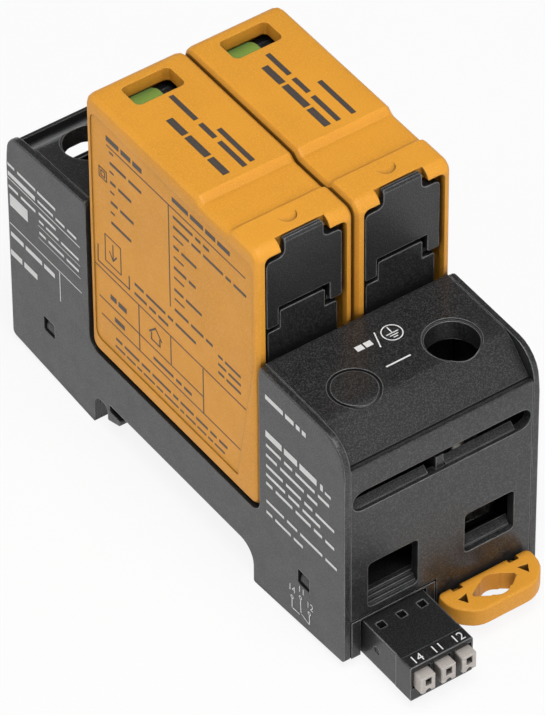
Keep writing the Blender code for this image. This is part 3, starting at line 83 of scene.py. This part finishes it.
# The walls turn from white to grey between these heights of the direction looked in
WALL_WHITE, CEILING_GREY = (1.0, 1.0, 1.0), (0.12, 0.12, 0.12)
HORIZON_LOW, HORIZON_HIGH = 0.02, 0.35

# CAD meshes are welded, then smoothed over edges flatter than this
WELD_GAP = 0.002 * MM
SMOOTH_ANGLE = 28
FACE_WEIGHT = 80

# Where an edge gets its wear and painted highlight: cosines between the surface's and the rounded
# normal
EDGE_FLAT, EDGE_SHARP = 0.98, 0.80
PLASTIC_EDGE = 0.30 * MM
METAL_EDGE = 0.12 * MM

# Skin of moulded plastic: sizes of its patches, and the reach of the painted shade in a crease
DRIFT_SIZE = 14 * MM
FLECK_SIZE = 0.22 * MM
EDGE_PATCH_SIZE = 2.2 * MM
HANDLED_SIZE = 3.5 * MM
CREASE = 2.0 * MM
DRIFT_SHADE = 0.90
CREASE_SHADE = 0.18
DUST_ROUGHNESS = 0.85

# Metal
SCRATCH_SIZE = 0.06 * MM
SCRATCH_DEPTH = 0.004 * MM
DULL_SIZE = 2.5 * MM
PAINTED_EDGE_HIGHLIGHT = (0.85, 0.85, 0.84)

# Ink
INK_HOLES = 0.16 * MM
INK_GRAIN = 0.12 * MM
INK_DEPTH = 0.006 * MM
INK_ROUGHNESS = 0.55


# Node helpers

def add(tree, kind, **settings):
    """A new node. A setting is a socket name with spaces as underscores, or an attribute."""
    made = tree.nodes.new(kind)
    for name, value in settings.items():
        if hasattr(made, name):
            setattr(made, name, value)
        else:
            made.inputs[name.replace("_", " ")].default_value = value
    return made


def noise(tree, place, size, detail=2.0, roughness=0.5):
    """Noise whose lumps are about size across."""
    made = add(tree, "ShaderNodeTexNoise", Scale=1 / size, Detail=detail, Roughness=roughness)
    tree.links.new(place, made.inputs["Vector"])
    return made.outputs["Fac"]


def spread(tree, value, low, high, to_low, to_high):
    """value from low..high, stretched to to_low..to_high."""
    made = add(tree, "ShaderNodeMapRange")
    for socket, number in zip(made.inputs[1:5], (low, high, to_low, to_high)):
        socket.default_value = number
    tree.links.new(value, made.inputs["Value"])
    return made.outputs["Result"]


def combined(tree, operation, first, second):
    """A Math node over two sockets."""
    made = add(tree, "ShaderNodeMath", operation=operation)
    tree.links.new(first, made.inputs[0])
    tree.links.new(second, made.inputs[1])
    return made.outputs["Value"]


def mixed(tree, share, first, second):
    """A colour between first and second, each a colour or a socket."""
    made = add(tree, "ShaderNodeMix", data_type="RGBA")
    tree.links.new(share, made.inputs["Factor"])
    for socket, colour in ((made.inputs[6], first), (made.inputs[7], second)):
        if isinstance(colour, bpy.types.NodeSocket):
            tree.links.new(colour, socket)
        else:
            socket.default_value = (*colour, 1.0)
    return made.outputs[2]


def bump(tree, height, distance, normal=None):
    """A normal that follows height, on top of the given normal."""
    made = add(tree, "ShaderNodeBump", Strength=1.0, Distance=distance)
    tree.links.new(height, made.inputs["Height"])
    if normal is not None:
        tree.links.new(normal, made.inputs["Normal"])
    return made.outputs["Normal"]


def blank_material(name):
    """A new material with its tree, its Principled node and the object coordinates."""
    material = bpy.data.materials.new(name)
    material.use_nodes = True
    tree = material.node_tree
    surface = tree.nodes["Principled BSDF"]
    place = add(tree, "ShaderNodeTexCoord").outputs["Object"]
    return material, tree, surface, place


def edge_share(tree, radius):
    """(rounded normal, share), where share is near 1 on edges sharper than radius."""
    rounded = add(tree, "ShaderNodeBevel", samples=6, Radius=radius).outputs["Normal"]
    alike = add(tree, "ShaderNodeVectorMath", operation="DOT_PRODUCT")
    tree.links.new(rounded, alike.inputs[0])
    tree.links.new(add(tree, "ShaderNodeNewGeometry").outputs["Normal"], alike.inputs[1])
    return rounded, spread(tree, alike.outputs["Value"], EDGE_FLAT, EDGE_SHARP, 0.0, 1.0)


# Materials

def moulded(name, colour, wear_and_highlight, fleck, roughness, grain, depth, gloss=0.5, edge=PLASTIC_EDGE):
    """Moulded plastic with spark-eroded grain, slow tone drift and lighter edges, partly wear
    from handling and partly a painted highlight.

    wear_and_highlight is the colour of those edges and fleck that of glass fibre ends that lie in
    the skin. roughness is (low, high). grain and depth are the size and height of the grain.
    Creases get painted shade in their colour, and dust makes them rougher.
    """
    material, tree, surface, place = blank_material(name)
    surface.inputs["Specular IOR Level"].default_value = gloss
    drift = spread(tree, noise(tree, place, DRIFT_SIZE, 3.0), 0.35, 0.65, 0.0, 1.0)
    tone = mixed(tree, drift, colour, [channel * DRIFT_SHADE for channel in colour])
    flecks = spread(tree, noise(tree, place, FLECK_SIZE, 1.5, 0.7), 0.46, 0.66, 0.0, 1.0)
    tone = mixed(tree, flecks, tone, fleck)
    # Sharp edges turn, in patches, to the lighter edge colour: partly handling wear, partly a
    # painted highlight
    rounded, wear_and_highlight_share = edge_share(tree, edge)
    patchy = spread(tree, noise(tree, place, EDGE_PATCH_SIZE, 4.0), 0.30, 0.70, 0.45, 1.0)
    tone = mixed(tree, combined(tree, "MULTIPLY", wear_and_highlight_share, patchy), tone, wear_and_highlight)
    # Ambient occlusion darkens the colour in creases and gaps to CREASE_SHADE of it: painted
    # shade
    nook = add(tree, "ShaderNodeAmbientOcclusion", samples=4, Distance=CREASE)
    open_share = spread(tree, nook.outputs["AO"], 0.32, 0.92, 0.0, 1.0)
    tone = mixed(tree, open_share, [channel * CREASE_SHADE for channel in colour], tone)
    tree.links.new(tone, surface.inputs["Base Color"])
    handled = spread(tree, noise(tree, place, HANDLED_SIZE, 5.0, 0.6), 0.3, 0.7, *roughness)
    dusty = spread(tree, open_share, 0.0, 1.0, DUST_ROUGHNESS, 0.0)
    tree.links.new(combined(tree, "MAXIMUM", handled, dusty), surface.inputs["Roughness"])
    skin = noise(tree, place, grain, 2.0, 0.6)
    tree.links.new(bump(tree, skin, depth, rounded), surface.inputs["Normal"])
    return material


def metal(name, colour, dull, roughness, brushed):
    """Plated sheet or turned metal: long fine scratches, dull patches, and soft edges lightened
    as a painted highlight.

    brushed stretches the scratches along the axis where it is small.
    """
    material, tree, surface, place = blank_material(name)
    surface.inputs["Metallic"].default_value = 1.0
    stretched = add(tree, "ShaderNodeMapping", Scale=brushed)
    tree.links.new(place, stretched.inputs["Vector"])
    scratches = noise(tree, stretched.outputs["Vector"], SCRATCH_SIZE, 3.0, 0.6)
    patches = noise(tree, place, DULL_SIZE, 4.0, 0.6)
    rounded, edge_highlight = edge_share(tree, METAL_EDGE)
    tone = mixed(tree, spread(tree, patches, 0.35, 0.7, 0.0, 1.0), colour, dull)
    # Edges turn lighter: a painted highlight
    tone = mixed(tree, edge_highlight, tone, PAINTED_EDGE_HIGHLIGHT)
    tree.links.new(tone, surface.inputs["Base Color"])
    rough = combined(tree, "MULTIPLY", spread(tree, patches, 0.3, 0.7, *roughness),
                     spread(tree, scratches, 0.3, 0.7, 0.85, 1.15))
    tree.links.new(rough, surface.inputs["Roughness"])
    tree.links.new(bump(tree, scratches, SCRATCH_DEPTH, rounded), surface.inputs["Normal"])
    return material


def ink(name, colour, under):
    """Pad-printed ink: thin, with the plastic, coloured under, showing through here and there."""
    material, tree, surface, place = blank_material(name)
    surface.inputs["Roughness"].default_value = INK_ROUGHNESS
    holes = spread(tree, noise(tree, place, INK_HOLES, 3.0, 0.7), 0.28, 0.45, 0.55, 0.0)
    tree.links.new(mixed(tree, holes, colour, under), surface.inputs["Base Color"])
    skin = noise(tree, place, INK_GRAIN, 2.0)
    tree.links.new(bump(tree, skin, INK_DEPTH), surface.inputs["Normal"])
    return material


def coated(name, colour, dark, roughness, lump, depth):
    """Dipped or lacquered coat with runs, for the parts inside."""
    material, tree, surface, place = blank_material(name)
    runs = noise(tree, place, lump, 4.0, 0.6)
    tone = mixed(tree, spread(tree, runs, 0.3, 0.7, 0.0, 1.0), colour, dark)
    tree.links.new(tone, surface.inputs["Base Color"])
    tree.links.new(spread(tree, runs, 0.3, 0.7, *roughness), surface.inputs["Roughness"])
    tree.links.new(bump(tree, runs, depth), surface.inputs["Normal"])
    return material


# The edge colour of each plastic stands for wear and for a painted highlight on its edges
MOULDED = {
    "base_plastic": {
        "colour": (0.012, 0.0121, 0.0125), "wear_and_highlight": (0.34, 0.342, 0.345),
        "fleck": (0.060, 0.0606, 0.062), "roughness": (0.28, 0.38),
        "grain": 0.28 * MM, "depth": 0.014 * MM},
    "orange_plastic": {
        "colour": (0.78, 0.338, 0.034), "wear_and_highlight": (0.86, 0.42, 0.07),
        "fleck": (0.81, 0.363, 0.044), "roughness": (0.42, 0.52),
        "grain": 0.28 * MM, "depth": 0.008 * MM, "gloss": 0.25},
    "black_plastic": {
        "colour": (0.009, 0.009, 0.0094), "wear_and_highlight": (0.42, 0.422, 0.425),
        "fleck": (0.046, 0.0465, 0.0475), "roughness": (0.28, 0.38),
        "grain": 0.28 * MM, "depth": 0.014 * MM, "gloss": 0.42, "edge": 0.42 * MM},
    "beige_plastic": {
        "colour": (0.50, 0.455, 0.42), "wear_and_highlight": (0.66, 0.62, 0.58),
        "fleck": (0.56, 0.515, 0.475), "roughness": (0.42, 0.55),
        "grain": 0.30 * MM, "depth": 0.010 * MM},
    "green_flag": {
        "colour": (0.20, 0.35, 0.065), "wear_and_highlight": (0.32, 0.46, 0.15),
        "fleck": (0.23, 0.39, 0.08), "roughness": (0.42, 0.55),
        "grain": 0.30 * MM, "depth": 0.008 * MM},
}
METALS = {
    "zinc_steel": {
        "colour": (0.66, 0.66, 0.64), "dull": (0.48, 0.48, 0.46),
        "roughness": (0.24, 0.40), "brushed": (1.0, 1.0, 0.06)},
    "tinned_copper": {
        "colour": (0.74, 0.72, 0.67), "dull": (0.58, 0.55, 0.50),
        "roughness": (0.28, 0.44), "brushed": (1.0, 0.06, 1.0)},
}
COATS = {
    "varistor_coating": {
        "colour": (0.030, 0.085, 0.26), "dark": (0.020, 0.055, 0.17),
        "roughness": (0.28, 0.45), "lump": 1.6 * MM, "depth": 0.05 * MM},
    "circuit_board": {
        "colour": (0.022, 0.13, 0.045), "dark": (0.015, 0.085, 0.030),
        "roughness": (0.22, 0.35), "lump": 0.6 * MM, "depth": 0.010 * MM},
}

MATERIALS = {name: make(name, **looks)
             for make, family in ((moulded, MOULDED), (metal, METALS), (coated, COATS))
             for name, looks in family.items()}
WHITE_INK = ink("white_ink", (0.76, 0.76, 0.75), (0.14, 0.14, 0.14))
DARK_INK = ink("dark_ink", (0.060, 0.052, 0.048), (0.30, 0.14, 0.04))


def dress_node(name, slot):
    """The node's own material, and soft shading on its rounded stretches."""
    piece = frame["nodes"][name]
    mesh = piece.data
    for layer in ("custom_normal", "sharp_edge", "sharp_face"):
        if layer in mesh.attributes:
            mesh.attributes.remove(mesh.attributes[layer])
    mesh.polygons.foreach_set("use_smooth", [True] * len(mesh.polygons))
    weld = piece.modifiers.new("weld", "WELD")
    weld.merge_threshold = WELD_GAP
    split = piece.modifiers.new("edges", "EDGE_SPLIT")
    split.split_angle = math.radians(SMOOTH_ANGLE)
    normals = piece.modifiers.new("normals", "WEIGHTED_NORMAL")
    normals.weight = FACE_WEIGHT
    mesh.materials.clear()
    mesh.materials.append(MATERIALS[slot])


for subpart in frame["record"]["subparts"]:
    dress_node(subpart["node"], subpart["material_slot"])


# Flat print. From here to the floor, all measures are in millimetres unless MM is named

PRINT_PROUD = 0.03 * MM
HAIRLINE = 0.22
THIN_RULE = 0.14
SIGN_LINE = 0.2
HOUSE_LINE = 0.28
SKETCH_LINE = 0.26
ARROW_LINE = 0.24
DASH_LINE = 0.3
TITLE_GAP = 0.55

# A line of small print: word lengths in turn, and all of these as shares of its cap height
WORD_LENGTHS = (2.6, 1.4, 3.3, 1.9, 4.1, 1.1, 2.9)
WORD_GAP = 0.55
BAR_HEIGHT = 0.42
BAR_LIFT = 0.12
LEAST_REST = 1.2    # a shorter rest of the line stays empty
LEAST_WORD = 1.6    # where a shorter rest would follow, the word takes it in

# Lines below are (start, end, foot, cap height, first word), rules (start, foot, end, foot),
# bars (start, foot, length, height) and words (start, foot, lengths, height, gap)
COVER_LINES = (
    (24.8, 41.1, 24.7, 1.5, 0), (24.8, 38.1, 22.6, 1.5, 3), (24.8, 42.4, 20.4, 1.5, 6),
    (24.8, 38.8, 18.5, 1.5, 9), (24.8, 42.4, 16.7, 1.5, 12), (24.8, 43.1, 12.9, 1.4, 2),
    (24.8, 34.3, 10.6, 1.4, 5), (-44.7, -36.9, 30.7, 1.4, 1), (-36.4, -31.4, 30.7, 1.4, 4),
    (-36.4, -25.7, 28.9, 1.3, 2), (-44.6, -37.1, 26.1, 1.4, 3), (-36.2, -31.5, 26.5, 1.3, 0),
    (-36.2, -25.2, 24.9, 1.2, 5), (-36.2, -25.3, 22.4, 1.3, 1))
COVER_RULES = (
    (-44.8, 28.2, -24.9, 28.2), (-44.6, 18.7, -24.8, 18.7), (-30.8, 18.4, -30.8, 12.4))
COVER_THIN_RULES = ((-36.4, 24.2, -24.9, 24.2), (-36.4, 21.6, -24.9, 21.6))
COVER_BARS = ((38.8, 26.9, 0.7, 1.3), (40.0, 26.9, 1.5, 0.6), (-44.7, 28.75, 7.6, 0.95),
              (-44.4, 22.6, 5.0, 2.5))
COVER_WORDS = (
    (24.7, 34.7, (4.6, 2.2, 1.0, 1.0), 0.95, TITLE_GAP), (24.7, 26.9, (4.2, 3.4, 4.4), 1.3, 0.6),
    (-44.5, 16.1, (3.6, 4.6, 3.0), 0.95, TITLE_GAP), (-44.7, 11.9, (3.2, 3.7), 1.2, TITLE_GAP))

# Change-over contact on the cover: its three numbers and its three contact points
CONTACT_NUMBERS = (("14", 30.4, -0.7), ("11", 32.9, 0.75), ("12", 35.1, -0.85))
CONTACT_NUMBER_SIZE = 1.9
CONTACT_POINTS = ((31.4, -1.9), (33.6, -0.3), (35.9, -1.9))
CONTACT_RADIUS = 0.3

MODULE_LABEL_X = -17.7
# Feet of the lines of the left and right column with their ends, and of the small units
LEFT_COLUMN = ((51.5, -7.8), (47.6, -10.6), (43.5, -10.1), (39.3, -8.7))
RIGHT_COLUMN = ((53.0, 10.0), (51.0, 19.6), (47.0, 6.6), (42.7, 8.4), (38.2, 7.8), (34.0, 10.6))
LEFT_UNIT_LIFT = 2.3
RIGHT_UNITS = (49.2, 45.0, 40.8, 36.4)
CORNER_LINES = (33.2, 31.5, 29.8)
MODULE_LINES = (
    (-10.2, 6.1, 31.1, 1.25, 3), (-10.3, -1.3, 29.1, 1.25, 0), (-5.5, 4.7, 19.2, 1.3, 4),
    (-15.8, 14.1, 15.3, 1.2, 1), (-16.0, 13.4, 13.75, 0.9, 6))
MODULE_RULES = (
    (-16.9, 55.0, 19.3, 55.0), (-0.6, 55.0, -0.6, 34.2), (-21.2, 27.85, 19.1, 27.85),
    (-20.0, 21.7, 7.6, 21.7), (-19.5, 18.2, 17.5, 18.2), (-9.25, 18.3, -9.25, 27.8),
    (-0.7, 21.8, -0.7, 27.6), (7.9, 18.4, 7.9, 27.5))
MODULE_BARS = ((-16.0, 19.2, 2.7, 0.9),)
MODULE_WORDS = (
    (-17.1, 55.9, (3.4, 2.6, 2.4), 1.0, TITLE_GAP),
    (0.4, 56.4, (4.2, 3.4, 2.6, 3.2), 0.9, TITLE_GAP), (-17.0, 23.2, (1.6, 2.2), 1.0, TITLE_GAP))

MODULE_TOP_Z = 62.0
# On each module's top: the heavy line and two light ones, as (x, start, end, height)
TOP_LINES = {
    "module_1": ((-11.1, -5.3, 9.7, 1.2), (-7.9, -5.5, 13.9, 0.85), (-6.3, -5.2, 3.6, 0.85)),
    "module_2": ((7.4, -5.3, 11.1, 1.2), (9.4, -5.3, 13.2, 0.85), (12.2, -5.3, 3.6, 0.85))}
HEAVY_GAP = 0.6
LIGHT_DROP = 0.7

# The near block's deck slopes a little from one of these points to the other
DECK_NEAR = (0.0, -38.6, 39.85)
DECK_FAR = (0.0, -23.0, 40.0)

PLUG_TOP_Z = 2.1
PLUG_NUMBERS = (("14", -13.75), ("11", -9.95), ("12", -6.15))
PLUG_NUMBERS_Y = -56.9
PLUG_NUMBER_SIZE = 2.25


def linked(name, data):
    """A new object in the scene."""
    made = bpy.data.objects.new(name, data)
    bpy.context.scene.collection.objects.link(made)
    return made


class Sheet:
    """Flat shapes on a plane that has an origin in metres, a width and a height direction.

    A place on it is (u, v) in millimetres along the two directions.
    """

    def __init__(self, origin, width, height):
        self.origin = Vector(origin)
        self.width = Vector(width).normalized()
        self.height = Vector(height).normalized()
        self.normal = self.width.cross(self.height)
        self.mesh = bmesh.new()

    def place(self, u, v):
        flat = (self.width * u + self.height * v) * MM
        return self.origin + flat + self.normal * PRINT_PROUD

    def face(self, corners):
        self.mesh.faces.new([self.mesh.verts.new(self.place(u, v)) for u, v in corners])

    def bar(self, u, v, length, thick):
        """A field from its low corner."""
        self.face([(u, v), (u + length, v), (u + length, v + thick), (u, v + thick)])

    def path(self, points, thick=HAIRLINE, closed=False):
        """Straight lines with square ends from point to point."""
        ends = [*points[1:], points[0]] if closed else points[1:]
        for start, end in zip(points, ends):
            run = Vector(end) - Vector(start)
            side = Vector((-run.y, run.x)).normalized() * thick / 2
            cap = run.normalized() * thick / 2
            first, last = Vector(start) - cap, Vector(end) + cap
            self.face([first - side, last - side, last + side, first + side])

    def rules(self, rows, thick=HAIRLINE):
        for start_u, start_v, end_u, end_v in rows:
            self.path([(start_u, start_v), (end_u, end_v)], thick)

    def ring(self, u, v, radius, steps=40):
        """A circle, as thin as the signs' lines."""
        angles = [math.tau * i / steps for i in range(steps + 1)]
        inner, outer = radius - SIGN_LINE / 2, radius + SIGN_LINE / 2
        for a, b in zip(angles, angles[1:]):
            self.face([(u + r * math.cos(t), v + r * math.sin(t))
                       for r, t in ((inner, a), (outer, a), (outer, b), (inner, b))])

    def words(self, u, v, lengths, thick, gap):
        """A line of print with nothing to read in it: short bars in place of words."""
        for length in lengths:
            self.bar(u, v, length, thick)
            u += length + gap

    def line(self, start, end, v, cap, first=0):
        """Small print from start to end, cut into bars as words would cut it."""
        u, step = start, first
        while end - u > LEAST_REST * cap:
            length = cap * WORD_LENGTHS[step % len(WORD_LENGTHS)]
            if end - (u + length) < LEAST_WORD * cap:
                length = end - u
            self.bar(u, v + BAR_LIFT * cap, length, BAR_HEIGHT * cap)
            u += length + WORD_GAP * cap
            step += 1

    def table(self, lines, bars, words):
        for row in lines:
            self.line(*row)
        for row in bars:
            self.bar(*row)
        for row in words:
            self.words(*row)

    def number(self, text, u, v, size):
        """A plain number."""
        curve = bpy.data.curves.new("number", "FONT")
        curve.body = text
        curve.size = size
        holder = linked("number", curve)
        flat = bpy.data.meshes.new_from_object(
            holder.evaluated_get(bpy.context.evaluated_depsgraph_get()))
        bpy.data.objects.remove(holder)
        for polygon in flat.polygons:
            self.face([(u + flat.vertices[i].co.x, v + flat.vertices[i].co.y)
                       for i in polygon.vertices])
        bpy.data.meshes.remove(flat)

    def finish(self, name, material, body):
        """Ends the drawing, as a piece that rides on body."""
        bmesh.ops.recalc_face_normals(self.mesh, faces=self.mesh.faces)
        mesh = bpy.data.meshes.new(name)
        self.mesh.to_mesh(mesh)
        self.mesh.free()
        mesh.materials.append(material)
        piece = linked(name, mesh)
        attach(piece, body)


def contact_sketch(sheet):
    """Change-over contact with its three numbers."""
    for text, u, v in CONTACT_NUMBERS:
        sheet.number(text, u, v, CONTACT_NUMBER_SIZE)
    for u, v in CONTACT_POINTS:
        sheet.ring(u, v, CONTACT_RADIUS, steps=16)
    sheet.path([(31.4, -2.3), (31.4, -4.2), (33.3, -4.1)])
    sheet.path([(33.6, -0.7), (33.75, -3.6), (35.8, -4.25)])
    sheet.path([(35.95, -2.3), (35.95, -4.1)])


def insulation_sign(sheet, u, v, side):
    """A square in a square."""
    for half in (side / 2, side / 4):
        sheet.path([(u - half, v - half), (u + half, v - half), (u + half, v + half),
                    (u - half, v + half)], SIGN_LINE, closed=True)


def house_sign(sheet, u, v, width):
    """A plain house: indoor use."""
    half = width / 2
    wall, floor = 0.7 * half, v - 0.85 * half
    sheet.path([(u - half, v), (u, v + half), (u + half, v)], HOUSE_LINE)
    sheet.path([(u - wall, v), (u - wall, floor), (u + wall, floor), (u + wall, v)],
               HOUSE_LINE)


def plug_in_sketch(sheet):
    """The module over its base, with an arrow down."""
    sheet.path([(-20.1, 32.3), (-20.2, 28.9), (-11.7, 29.2), (-11.7, 31.8)], SKETCH_LINE)
    sheet.path([(-18.1, 30.5), (-13.9, 30.5), (-13.9, 36.0), (-18.1, 36.0)], SIGN_LINE,
               closed=True)
    sheet.path([(-16.0, 35.0), (-16.0, 32.2)], ARROW_LINE)
    sheet.path([(-16.0, 31.8), (-16.9, 33.1)], ARROW_LINE)
    sheet.path([(-16.0, 31.8), (-15.1, 33.1)], ARROW_LINE)


def earth_sign(sheet, u, v, radius):
    """Protective earth: a stem over three shorter and shorter bars, in a circle."""
    sheet.ring(u, v, radius)
    sheet.path([(u, v + 0.75 * radius), (u, v - 0.05 * radius)], SIGN_LINE)
    for drop, half in ((0.05, 0.6), (0.33, 0.4), (0.61, 0.2)):
        foot = v - drop * radius
        sheet.path([(u - half * radius, foot), (u + half * radius, foot)], SIGN_LINE)


def side_print():
    """Titles, connection table and contact sketch on both blocks of the left cover."""
    left = cad_box[0].x
    sheet = Sheet((left, 0, 0), (0, -1, 0), (0, 0, 1))
    sheet.table(COVER_LINES, COVER_BARS, COVER_WORDS)
    sheet.rules(COVER_RULES)
    sheet.rules(COVER_THIN_RULES, THIN_RULE)
    contact_sketch(sheet)
    sheet.finish("side_print", WHITE_INK, "base")


def module_side_print():
    """Data table, signs and plug-in sketch in the left module's label recess."""
    sheet = Sheet((MODULE_LABEL_X * MM, 0, 0), (0, -1, 0), (0, 0, 1))
    sheet.table(MODULE_LINES, MODULE_BARS, MODULE_WORDS)
    for foot, end in LEFT_COLUMN:
        sheet.line(-16.2, end, foot, 1.3, int(foot))
        sheet.line(-16.3, -13.9, foot + LEFT_UNIT_LIFT, 0.8, 1)
    for foot, end in RIGHT_COLUMN:
        sheet.line(0.6, end, foot, 1.25, int(foot))
    for foot in RIGHT_UNITS:
        sheet.line(0.6, 3.2, foot, 0.8, 2)
    for foot in CORNER_LINES:
        sheet.line(12.0, 17.9, foot, 1.1, int(foot))
    sheet.rules(MODULE_RULES)
    insulation_sign(sheet, -18.2, 48.2, 2.0)
    house_sign(sheet, -4.8, 24.6, 3.2)
    plug_in_sketch(sheet)
    sheet.finish("module_side_print", DARK_INK, "module_1")


def uneven(room):
    """Three word lengths that fill room, the middle one a little longer."""
    shares = (1.0, 1.25, 1.0)
    return [room * share / sum(shares) for share in shares]


def module_top_print():
    """Rating lines on the module tops, along the module."""
    for body, (heavy, *light) in TOP_LINES.items():
        sheet = Sheet((0, 0, MODULE_TOP_Z * MM), (0, 1, 0), (-1, 0, 0))
        x, start, end, height = heavy
        lengths = uneven(end - start - 2 * HEAVY_GAP)
        sheet.words(start, -x - height / 2, lengths, height, HEAVY_GAP)
        for number, (x, start, end, height) in enumerate(light, 1):
            sheet.line(start, end, -x - LIGHT_DROP, height / BAR_HEIGHT, 2 * number)
        sheet.finish(body + "_top_print", DARK_INK, body)


def deck_print():
    """The earth terminal's marking on the near block's deck. v runs from the deck's near end."""
    near, far = Vector(DECK_NEAR), Vector(DECK_FAR)
    sheet = Sheet(near * MM, (1, 0, 0), far - near)
    earth_sign(sheet, 2.5, 10.0, 1.65)
    sheet.path([(-0.7, 8.5), (0.25, 11.4)])
    sheet.words(-4.1, 9.5, (1.3, 1.3), 1.1, 0.3)
    sheet.path([(-2.4, 4.5), (1.8, 4.5)], DASH_LINE)
    sheet.finish("deck_print", WHITE_INK, "base")


def plug_print():
    """Contact numbers over the three buttons."""
    sheet = Sheet((0, 0, PLUG_TOP_Z * MM), (1, 0, 0), (0, 1, 0))
    for text, x in PLUG_NUMBERS:
        sheet.number(text, x, PLUG_NUMBERS_Y, PLUG_NUMBER_SIZE)
    sheet.finish("plug_print", WHITE_INK, "signal_plug")


side_print()
module_side_print()
module_top_print()
deck_print()
plug_print()


# Floor, backdrop, light and camera

def lay_floor():
    """A pale floor under the part. Cameras and mirrors see it nearly white, with its shadow."""
    low, half = cad_box[0].z, FLOOR_HALF
    mesh = bpy.data.meshes.new("floor")
    mesh.from_pydata([(-half, -half, low), (half, -half, low), (half, half, low),
                      (-half, half, low)], [], [(0, 1, 2, 3)])
    floor = linked("floor", mesh)
    material, tree, surface, _ = blank_material("floor")
    surface.inputs["Base Color"].default_value = (*FLOOR_TONE, 1.0)
    surface.inputs["Roughness"].default_value = FLOOR_ROUGHNESS
    surface.inputs["Specular IOR Level"].default_value = 0.0
    white = add(tree, "ShaderNodeEmission", Strength=1.0)
    rays = add(tree, "ShaderNodeLightPath").outputs
    seen = combined(tree, "MAXIMUM", rays["Is Camera Ray"], rays["Is Glossy Ray"])
    seen = combined(tree, "MAXIMUM", seen, rays["Is Transmission Ray"])
    share = add(tree, "ShaderNodeMath", operation="MULTIPLY")
    share.inputs[1].default_value = WHITE_SHARE
    tree.links.new(seen, share.inputs[0])
    blend = add(tree, "ShaderNodeMixShader")
    tree.links.new(share.outputs["Value"], blend.inputs["Fac"])
    tree.links.new(surface.outputs["BSDF"], blend.inputs[1])
    tree.links.new(white.outputs["Emission"], blend.inputs[2])
    tree.links.new(blend.outputs["Shader"], tree.nodes["Material Output"].inputs["Surface"])
    mesh.materials.append(material)


def hang_backdrop():
    """White walls that turn grey overhead."""
    world = bpy.data.worlds.new("studio")
    bpy.context.scene.world = world
    world.use_nodes = True
    tree = world.node_tree
    up = add(tree, "ShaderNodeSeparateXYZ")
    tree.links.new(add(tree, "ShaderNodeTexCoord").outputs["Generated"], up.inputs["Vector"])
    height = spread(tree, up.outputs["Z"], HORIZON_LOW, HORIZON_HIGH, 0.0, 1.0)
    walls = mixed(tree, height, WALL_WHITE, CEILING_GREY)
    tree.links.new(walls, tree.nodes["Background"].inputs["Color"])
    tree.nodes["Background"].inputs["Strength"].default_value = 1.0


def direction(azimuth, elevation):
    """From the object outwards. Azimuth 0 is in front of it, 90 on its right."""
    a, e = math.radians(azimuth), math.radians(elevation)
    return Vector((math.sin(a) * math.cos(e), -math.cos(a) * math.cos(e), math.sin(e)))


def lamp(name, azimuth, elevation, distance, side, power):
    """A square soft box that faces the object."""
    away = direction(azimuth, elevation)
    light = bpy.data.lights.new(name, "AREA")
    light.size = side
    light.energy = power
    holder = linked(name, light)
    holder.location = VIEW_TARGET + away * distance
    holder.rotation_mode = "QUATERNION"
    holder.rotation_quaternion = away.to_track_quat("Z", "Y")


def camera():
    """The photo's viewpoint, as near as a camera without shift comes to it."""
    away = direction(VIEW_AZIMUTH, VIEW_ELEVATION)
    data = bpy.data.cameras.new("camera")
    data.sensor_width = SENSOR
    data.lens = FOCAL_PIXELS * SENSOR / PICTURE_HEIGHT
    data.clip_start = CLIP_START
    data.clip_end = CLIP_END
    holder = linked("camera", data)
    turn = away.to_track_quat("Z", "Y").to_matrix().to_4x4()
    roll = Matrix.Rotation(math.radians(VIEW_ROLL), 4, "Z")
    holder.matrix_world = Matrix.Translation(VIEW_TARGET + away * VIEW_DISTANCE) @ turn @ roll
    bpy.context.scene.camera = holder


lay_floor()
hang_backdrop()
for row in LAMPS:
    lamp(*row)
camera()
bpy.context.scene.view_settings.view_transform = "Standard"
